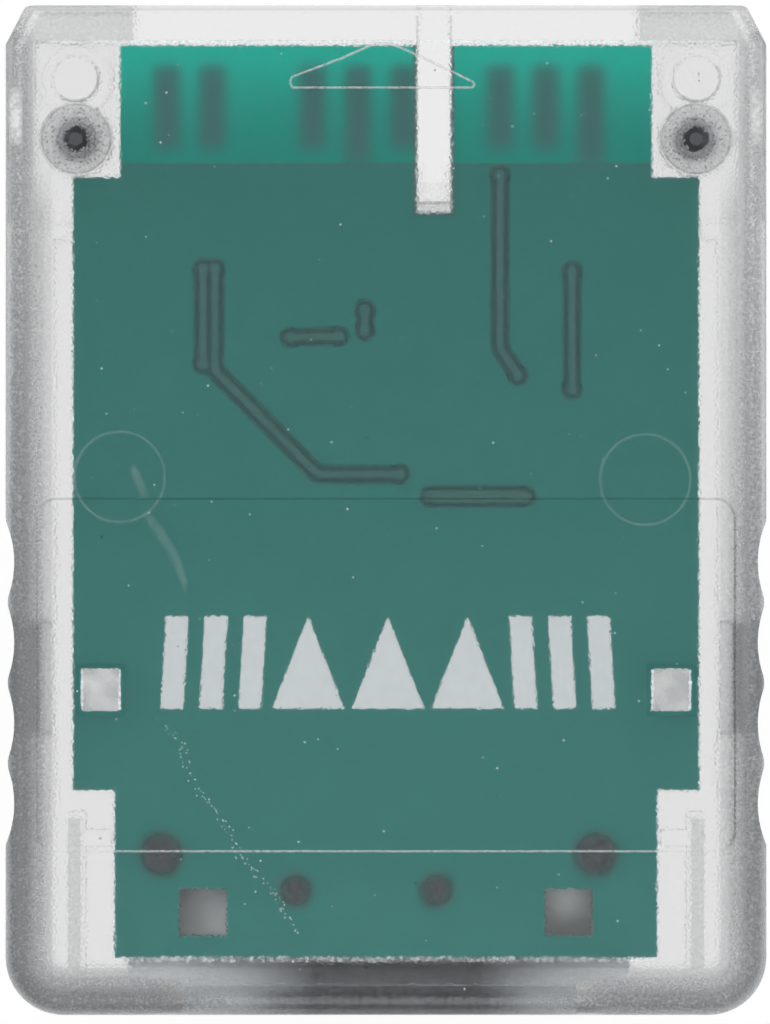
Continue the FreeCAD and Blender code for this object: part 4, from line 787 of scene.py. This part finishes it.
# The square posts end in a rough cut, seen through the windows of the board. Light catches in the gaps at their sides.
# Round each window the resist shows under the shoulder of the post, with rounded corners.
POST = (15.75, -9.9)
post_cut = film_material("plastic_rough_cut", "9CA1A2", 1.5 * MM, 0.64)
post_glint = film_material("plastic_gap_glint", "F2F5F5", 0.2 * MM, 0.95)
for name, finish, slot, height, shapes in (
    ("post_ends", post_cut, "clear_case", board_low.z + 0.095 * MM, (
        ((-1.05, -1.15), (1.05, -1.15), (1.05, 1.15), (-1.05, 1.15)),
    )),
    ("post_glints", post_glint, "clear_case", FACE + 0.012 * MM, (
        ((-1.14, -1.2), (-0.98, -1.2), (-0.98, 1.2), (-1.14, 1.2)),
        ((0.98, -1.2), (1.14, -1.2), (1.14, 1.2), (0.98, 1.2)),
    )),
    ("post_frames", resist, "green_board", FACE + 0.024 * MM, tuple(
        tuple((sign_x * x, sign_y * y) for x, y in corners)
        for sign_x in (-1, 1) for sign_y in (-1, 1)
        for corners in (
            ((0.0, 1.17), (0.92, 1.17), (1.07, 1.11), (1.40, 1.50), (0.0, 1.50)),
            ((1.10, 0.0), (1.10, 1.02), (1.07, 1.11), (1.40, 1.50), (1.40, 0.0)),
        )
    )),
):
    vertices, faces = [], []
    for side in (-1, 1):
        for corners in shapes:
            first = len(vertices)
            vertices += [((side * POST[0] + x) * MM, (POST[1] + y) * MM, height) for x, y in corners]
            faces.append(tuple(range(first, first + len(corners))))
    new_piece(name, vertices, faces, finish)

# Painted shade: a dark ring over each screw boss, and a dark arc on one side of each locating peg.
boss_dark = film_material("plastic_painted_boss_and_peg_shade", "3C4244", 0.6 * MM, 0.32)
BOSS_RADIUS = 1.9
PEG, PEG_RADIUS = (17.15, 23.85), 1.27
for name, side in (("left", -1), ("right", 1)):
    ring = round_points(side * BOSS[0], BOSS[1], BOSS_RADIUS, RING)
    grow(f"{name}_boss_rim", loop_mesh(f"{name}_boss", ring, TOP - 1.25 * MM), bead, {
        "Radius": 0.06 * MM, "Material": boss_dark,
    })
    turns = [math.radians(angle) for angle in range(-130, 31, 10)]
    arc = [(side * PEG[0] + PEG_RADIUS * math.cos(t), PEG[1] + PEG_RADIUS * math.sin(t)) for t in turns]
    grow(f"{name}_peg_shade", line_mesh(f"{name}_peg", arc, PANEL_BACK), ribbon, {
        "Half width": 0.09 * MM, "End radius": 0.03 * MM, "Material": boss_dark,
    })

# The foot of the front wall catches the light all along its inner edge.
wall_glint = film_material("plastic_wall_glint", "F8FAFA", 0.25 * MM, 0.9)
WALL_FOOT = HALF_LENGTH - 1.9 * MM
GLINT_SIDE, GLINT_NEAR, GLINT_FAR = 18.6 * MM, WALL_FOOT - 0.005 * MM, WALL_FOOT - 0.14 * MM
vertices = [
    (-GLINT_SIDE, GLINT_FAR, PANEL_BACK), (GLINT_SIDE, GLINT_FAR, PANEL_BACK),
    (GLINT_SIDE, GLINT_NEAR, PANEL_BACK), (-GLINT_SIDE, GLINT_NEAR, PANEL_BACK),
]
new_piece("wall_glint", vertices, [(0, 1, 2, 3)], wall_glint)

# The long edges gleam where the side notches lie under them, the left one more.
EDGE_ROUND = 1.1
GLEAM_START, GLEAM_LENGTH = 20.0, 3.5
GLEAM_ROWS, GLEAM_COLUMNS = 12, 6
GLEAM_LIFT = 0.008
vertices, faces, cover = [], [], []
for side, strength in ((-1, 1.5), (1, 1.0)):
    first = len(vertices)
    for row in range(GLEAM_ROWS + 1):
        along = GLEAM_START + GLEAM_LENGTH * row / GLEAM_ROWS
        for column in range(GLEAM_COLUMNS + 1):
            slope = math.radians(5 + 9 * column)
            out = math.sin(slope) * (EDGE_ROUND + GLEAM_LIFT) - EDGE_ROUND
            up = math.cos(slope) * (EDGE_ROUND + GLEAM_LIFT) - EDGE_ROUND
            vertices.append((side * (HALF_WIDTH + out * MM), along * MM, TOP + up * MM))
            fade = math.sin(math.pi * row / GLEAM_ROWS) ** 0.5
            cover.append(strength * fade * math.sin(math.pi * column / GLEAM_COLUMNS) ** 0.7)
    faces += grid_faces(first, GLEAM_ROWS, GLEAM_COLUMNS)
gleam = film_material("plastic_edge_gleam", "FBFCFC", 0.3 * MM)
set_cover(new_piece("notch_gleam", vertices, faces, gleam), cover)

# A rubbed streak on the face, in two strokes. Points in millimetres, with the half width there.
STREAK = (
    ((-14.05, 2.70, 0.15), (-13.85, 2.10, 0.38), (-13.55, 1.40, 0.40), (-13.30, 0.80, 0.30), (-13.20, 0.62, 0.10)),
    ((-13.40, 0.25, 0.10), (-12.95, -0.55, 0.35), (-12.45, -1.30, 0.38), (-11.90, -2.10, 0.36),
     (-11.45, -3.05, 0.33), (-11.15, -3.95, 0.26), (-11.00, -4.75, 0.12)),
)
STREAK_COVER = 0.13
vertices, faces, cover = [], [], []
for stroke in STREAK:
    last = len(stroke) - 1
    for number, (x, y, half) in enumerate(stroke):
        before = stroke[max(0, number - 1)]
        after = stroke[min(last, number + 1)]
        length = math.hypot(after[0] - before[0], after[1] - before[1])
        side_x = -(after[1] - before[1]) / length
        side_y = (after[0] - before[0]) / length
        height = (TOP if y * MM > LABEL_FRONT else LABEL_FLOOR) + ABOVE
        for column, level in ((-1.0, 0.0), (-0.45, 0.8), (0.35, 1.0), (1.0, 0.0)):
            vertices.append(((x + side_x * half * column) * MM, (y + side_y * half * column) * MM, height))
            cover.append(STREAK_COVER * level if 0 < number < last else 0.0)
        if number:
            row = len(vertices) - 8
            faces += [(row + n, row + n + 1, row + n + 5, row + n + 4) for n in range(3)]
streak = film_material("plastic_rubbed_matt", "D9DEDD", 0.5 * MM)
set_cover(new_piece("rubbed_streak", vertices, faces, streak), cover)


def speck_nodes():
    """A node group that scatters small flat specks over faces."""
    group, identifiers, given = new_group("specks", {
        "Faces": "Geometry", "Density": "Float", "Smallest": "Float", "Largest": "Float", "Seed": "Int",
        "Material": "Material",
    })
    points = node(group, "GeometryNodeDistributePointsOnFaces", {
        "Mesh": given["Faces"], "Density": given["Density"], "Seed": given["Seed"],
    }, output="Points")
    radius = node(group, "FunctionNodeRandomValue", {
        2: given["Smallest"], 3: given["Largest"], "Seed": given["Seed"],
    }, output=1, data_type="FLOAT")
    disc = node(group, "GeometryNodeMeshCircle", {"Vertices": 7, "Radius": 1.0}, fill_type="NGON")
    specks = node(group, "GeometryNodeInstanceOnPoints", {"Points": points, "Instance": disc, "Scale": radius})
    finish_group(group, specks, given["Material"])
    return group, identifiers


def patch_mesh(name, strips):
    """Flat strips between pairs of points, given in millimetres, as a source for specks."""
    mesh = bpy.data.meshes.new(f"{name}_patch")
    corners, quads = [], []
    for (left, right), (next_left, next_right), height in strips:
        first = len(corners)
        corners += [(x * MM, y * MM, height) for x, y in (left, right, next_right, next_left)]
        quads.append((first, first + 1, first + 2, first + 3))
    mesh.from_pydata(corners, [], quads)
    return mesh


# A scratch of small pits across the lower left of the face, loose specks all over it, white specks on the right peg
# for a painted glint, and round the screws a belt of pale scuffs and one of dark pits.
SCRATCH = (
    (-12.15, -11.80), (-11.29, -12.93), (-10.91, -14.40), (-10.24, -15.64), (-9.48, -16.49), (-8.71, -17.62),
    (-8.20, -18.95), (-7.07, -20.11), (-6.13, -21.16), (-5.64, -22.21), (-4.70, -23.37),
)
SCRATCH_HALF = 0.28
FACE_SIDE = 18.0
BELT = 16
speck = speck_nodes()
pit_white = film_material("plastic_pits_white", "F2F6F5", 0.3 * MM, 0.75)
pit_faint = film_material("plastic_scratch_white", "E2F1ED", 0.3 * MM, 0.65)
pit_dark = film_material("plastic_pits_dark", "1D3B37", 0.3 * MM, 0.5)
pit_grey = film_material("plastic_pits_grey", "B9BDBE", 0.3 * MM, 0.62)
scratch_strips = []
for start, end in zip(SCRATCH, SCRATCH[1:]):
    height = (LABEL_FLOOR if (start[1] + end[1]) / 2 * MM > LABEL_REAR else TOP) + ABOVE
    near, far = (((x - SCRATCH_HALF, y), (x + SCRATCH_HALF, y)) for x, y in (start, end))
    scratch_strips.append((near, far, height))
face_strips = [
    (((-FACE_SIDE, low), (FACE_SIDE, low)), ((-FACE_SIDE, high), (FACE_SIDE, high)), height + ABOVE)
    for low, high, height in ((-26.5, -19.1, TOP), (-18.6, 0.5, LABEL_FLOOR), (0.9, 26.5, TOP))
]
peg_strips = [(((16.75, 23.45), (17.45, 23.45)), ((16.75, 24.25), (17.45, 24.25)), TOP + ABOVE)]
boss_strips = {"pale": [], "dark": []}
for kind, inner, outer in (("pale", 0.64, 1.05), ("dark", 0.9, 1.8)):
    for side in (-1, 1):
        near, far = (round_points(side * BOSS[0], BOSS[1], radius, BELT) for radius in (inner, outer))
        for n in range(BELT):
            after = (n + 1) % BELT
            boss_strips[kind].append(((near[n], near[after]), (far[n], far[after]), TOP + ABOVE))
for name, source, density, smallest, largest, seed, finish in (
    ("scratch_pits", scratch_strips, 20.0, 0.025, 0.065, 3, pit_faint),
    ("white_specks", face_strips, 0.075, 0.025, 0.07, 11, pit_white),
    ("dark_specks", face_strips, 0.018, 0.04, 0.10, 5, pit_dark),
    ("boss_pits", boss_strips["dark"], 17.0, 0.035, 0.08, 7, pit_dark),
    ("boss_scuffs", boss_strips["pale"], 60.0, 0.03, 0.08, 13, pit_grey),
    ("peg_glint_specks", peg_strips, 26.0, 0.04, 0.10, 9, pit_white),
):
    grow(name, patch_mesh(name, source), speck, {
        "Density": density / MM ** 2, "Smallest": smallest * MM, "Largest": largest * MM, "Seed": seed,
        "Material": finish,
    })

# Case screws
# Two cross-headed thread-forming screws of zinc plated steel, driven from the back into the corner bosses.
# The heads are bright; the shanks are dark but for the cut tip, a painted shade for the hollow of the bosses.
HEAD_TOP = 1.7 * MM
TIP_START = 5.6 * MM
zinc, tree = new_material("zinc_plated_steel")
place = node(tree, "ShaderNodeTexCoord", output="Object")
axes = node(tree, "ShaderNodeSeparateXYZ", {0: place}, output=None)
in_head = node(tree, "ShaderNodeMath", {0: axes.outputs["Z"], 1: HEAD_TOP}, operation="LESS_THAN")
at_tip = node(tree, "ShaderNodeMath", {0: axes.outputs["Z"], 1: TIP_START}, operation="GREATER_THAN")
blotch = node(tree, "ShaderNodeTexNoise", {"Vector": place, "Scale": 1 / (0.3 * MM), "Detail": 2.0})
tone = node(tree, "ShaderNodeMix", {
    0: blotch, 6: linear("4A4C4F"), 7: linear("6A6C6F"),
}, output=2, data_type="RGBA")
for share, code in ((at_tip, "5C5E61"), (in_head, "D2D4D6")):
    tone = node(tree, "ShaderNodeMix", {0: share, 6: tone, 7: linear(code)}, output=2, data_type="RGBA")
finish_material(tree, node(tree, "ShaderNodeBsdfPrincipled", {
    "Base Color": tone, "Metallic": 0.8, "Roughness": 0.5,
}))
paint(["case_screws"], zinc)

# Studio
# A white paper floor under soft lamps. The camera sees the paper as white, with part of its shadow kept,
# and so do reflections and what is seen through the case.
CAMERA_WHITE = 0.9
paper, tree = new_material("white_paper")
rays = node(tree, "ShaderNodeLightPath", output=None).outputs
through = node(tree, "ShaderNodeMath", {
    0: rays["Is Glossy Ray"], 1: rays["Is Transmission Ray"],
}, operation="MAXIMUM")
direct = node(tree, "ShaderNodeMath", {0: rays["Is Camera Ray"], 1: CAMERA_WHITE}, operation="MULTIPLY")
share = node(tree, "ShaderNodeMath", {0: direct, 1: through}, operation="MAXIMUM")
level = node(tree, "ShaderNodeMath", {0: through, 1: -0.12, 2: 1.04}, operation="MULTIPLY_ADD")
lit = node(tree, "ShaderNodeBsdfDiffuse", {"Color": linear("F2F2F2")})
white = node(tree, "ShaderNodeEmission", {"Color": linear("FFFFFF"), "Strength": level})
finish_material(tree, node(tree, "ShaderNodeMixShader", {0: share, 1: lit, 2: white}))
REACH = 1.5
DROP = -0.02 * MM
mesh = bpy.data.meshes.new("floor")
corners = [(-REACH, -REACH, DROP), (REACH, -REACH, DROP), (REACH, REACH, DROP), (-REACH, REACH, DROP)]
mesh.from_pydata(corners, [], [(0, 1, 2, 3)])
mesh.materials.append(paper)
floor = new_object("floor", mesh)


LAMP_SIZE = 0.6
LAMP_DISTANCE = 0.9


def soft_lamp(name, azimuth, elevation, power):
    """A square lamp that faces the part."""
    lamp = bpy.data.lights.new(name, "AREA")
    lamp.size = LAMP_SIZE
    lamp.energy = power
    made = new_object(name, lamp)
    flat = LAMP_DISTANCE * math.cos(math.radians(elevation))
    made.location = (
        flat * math.sin(math.radians(azimuth)),
        flat * math.cos(math.radians(azimuth)),
        LAMP_DISTANCE * math.sin(math.radians(elevation)),
    )
    made.rotation_mode = "QUATERNION"
    made.rotation_quaternion = made.location.to_track_quat("Z", "Y")


soft_lamp("left_lamp", -60, 50, 3.1)
soft_lamp("right_lamp", 60, 50, 3.1)
soft_lamp("rear_lamp", 180, 55, 2.2)

world = bpy.data.worlds.new("studio")
world.use_nodes = True
world.node_tree.nodes["Background"].inputs["Color"].default_value = linear("FFFFFF")
world.node_tree.nodes["Background"].inputs["Strength"].default_value = 0.10
scene = bpy.context.scene
scene.world = world
scene.view_settings.view_transform = "Standard"
scene.cycles.transmission_bounces = 6
scene.cycles.max_bounces = 6
scene.cycles.diffuse_bounces = 1
scene.cycles.glossy_bounces = 2
scene.cycles.transparent_max_bounces = 8

# The camera looks straight down from the height that gives the photograph's scale at the front face.
IMAGE_HEIGHT = 1024
SCALE = 18.14 / MM
LENS = 600.0
SENSOR = 36.0
camera = new_object("camera", bpy.data.cameras.new("camera"))
camera.data.lens = LENS
camera.data.sensor_width = SENSOR
camera.data.clip_start = 0.01
camera.data.clip_end = 10.0
camera.location = (-0.055 * MM, -0.09 * MM, cad_bounds[1].z + IMAGE_HEIGHT / SCALE * LENS / SENSOR)
scene.camera = camera
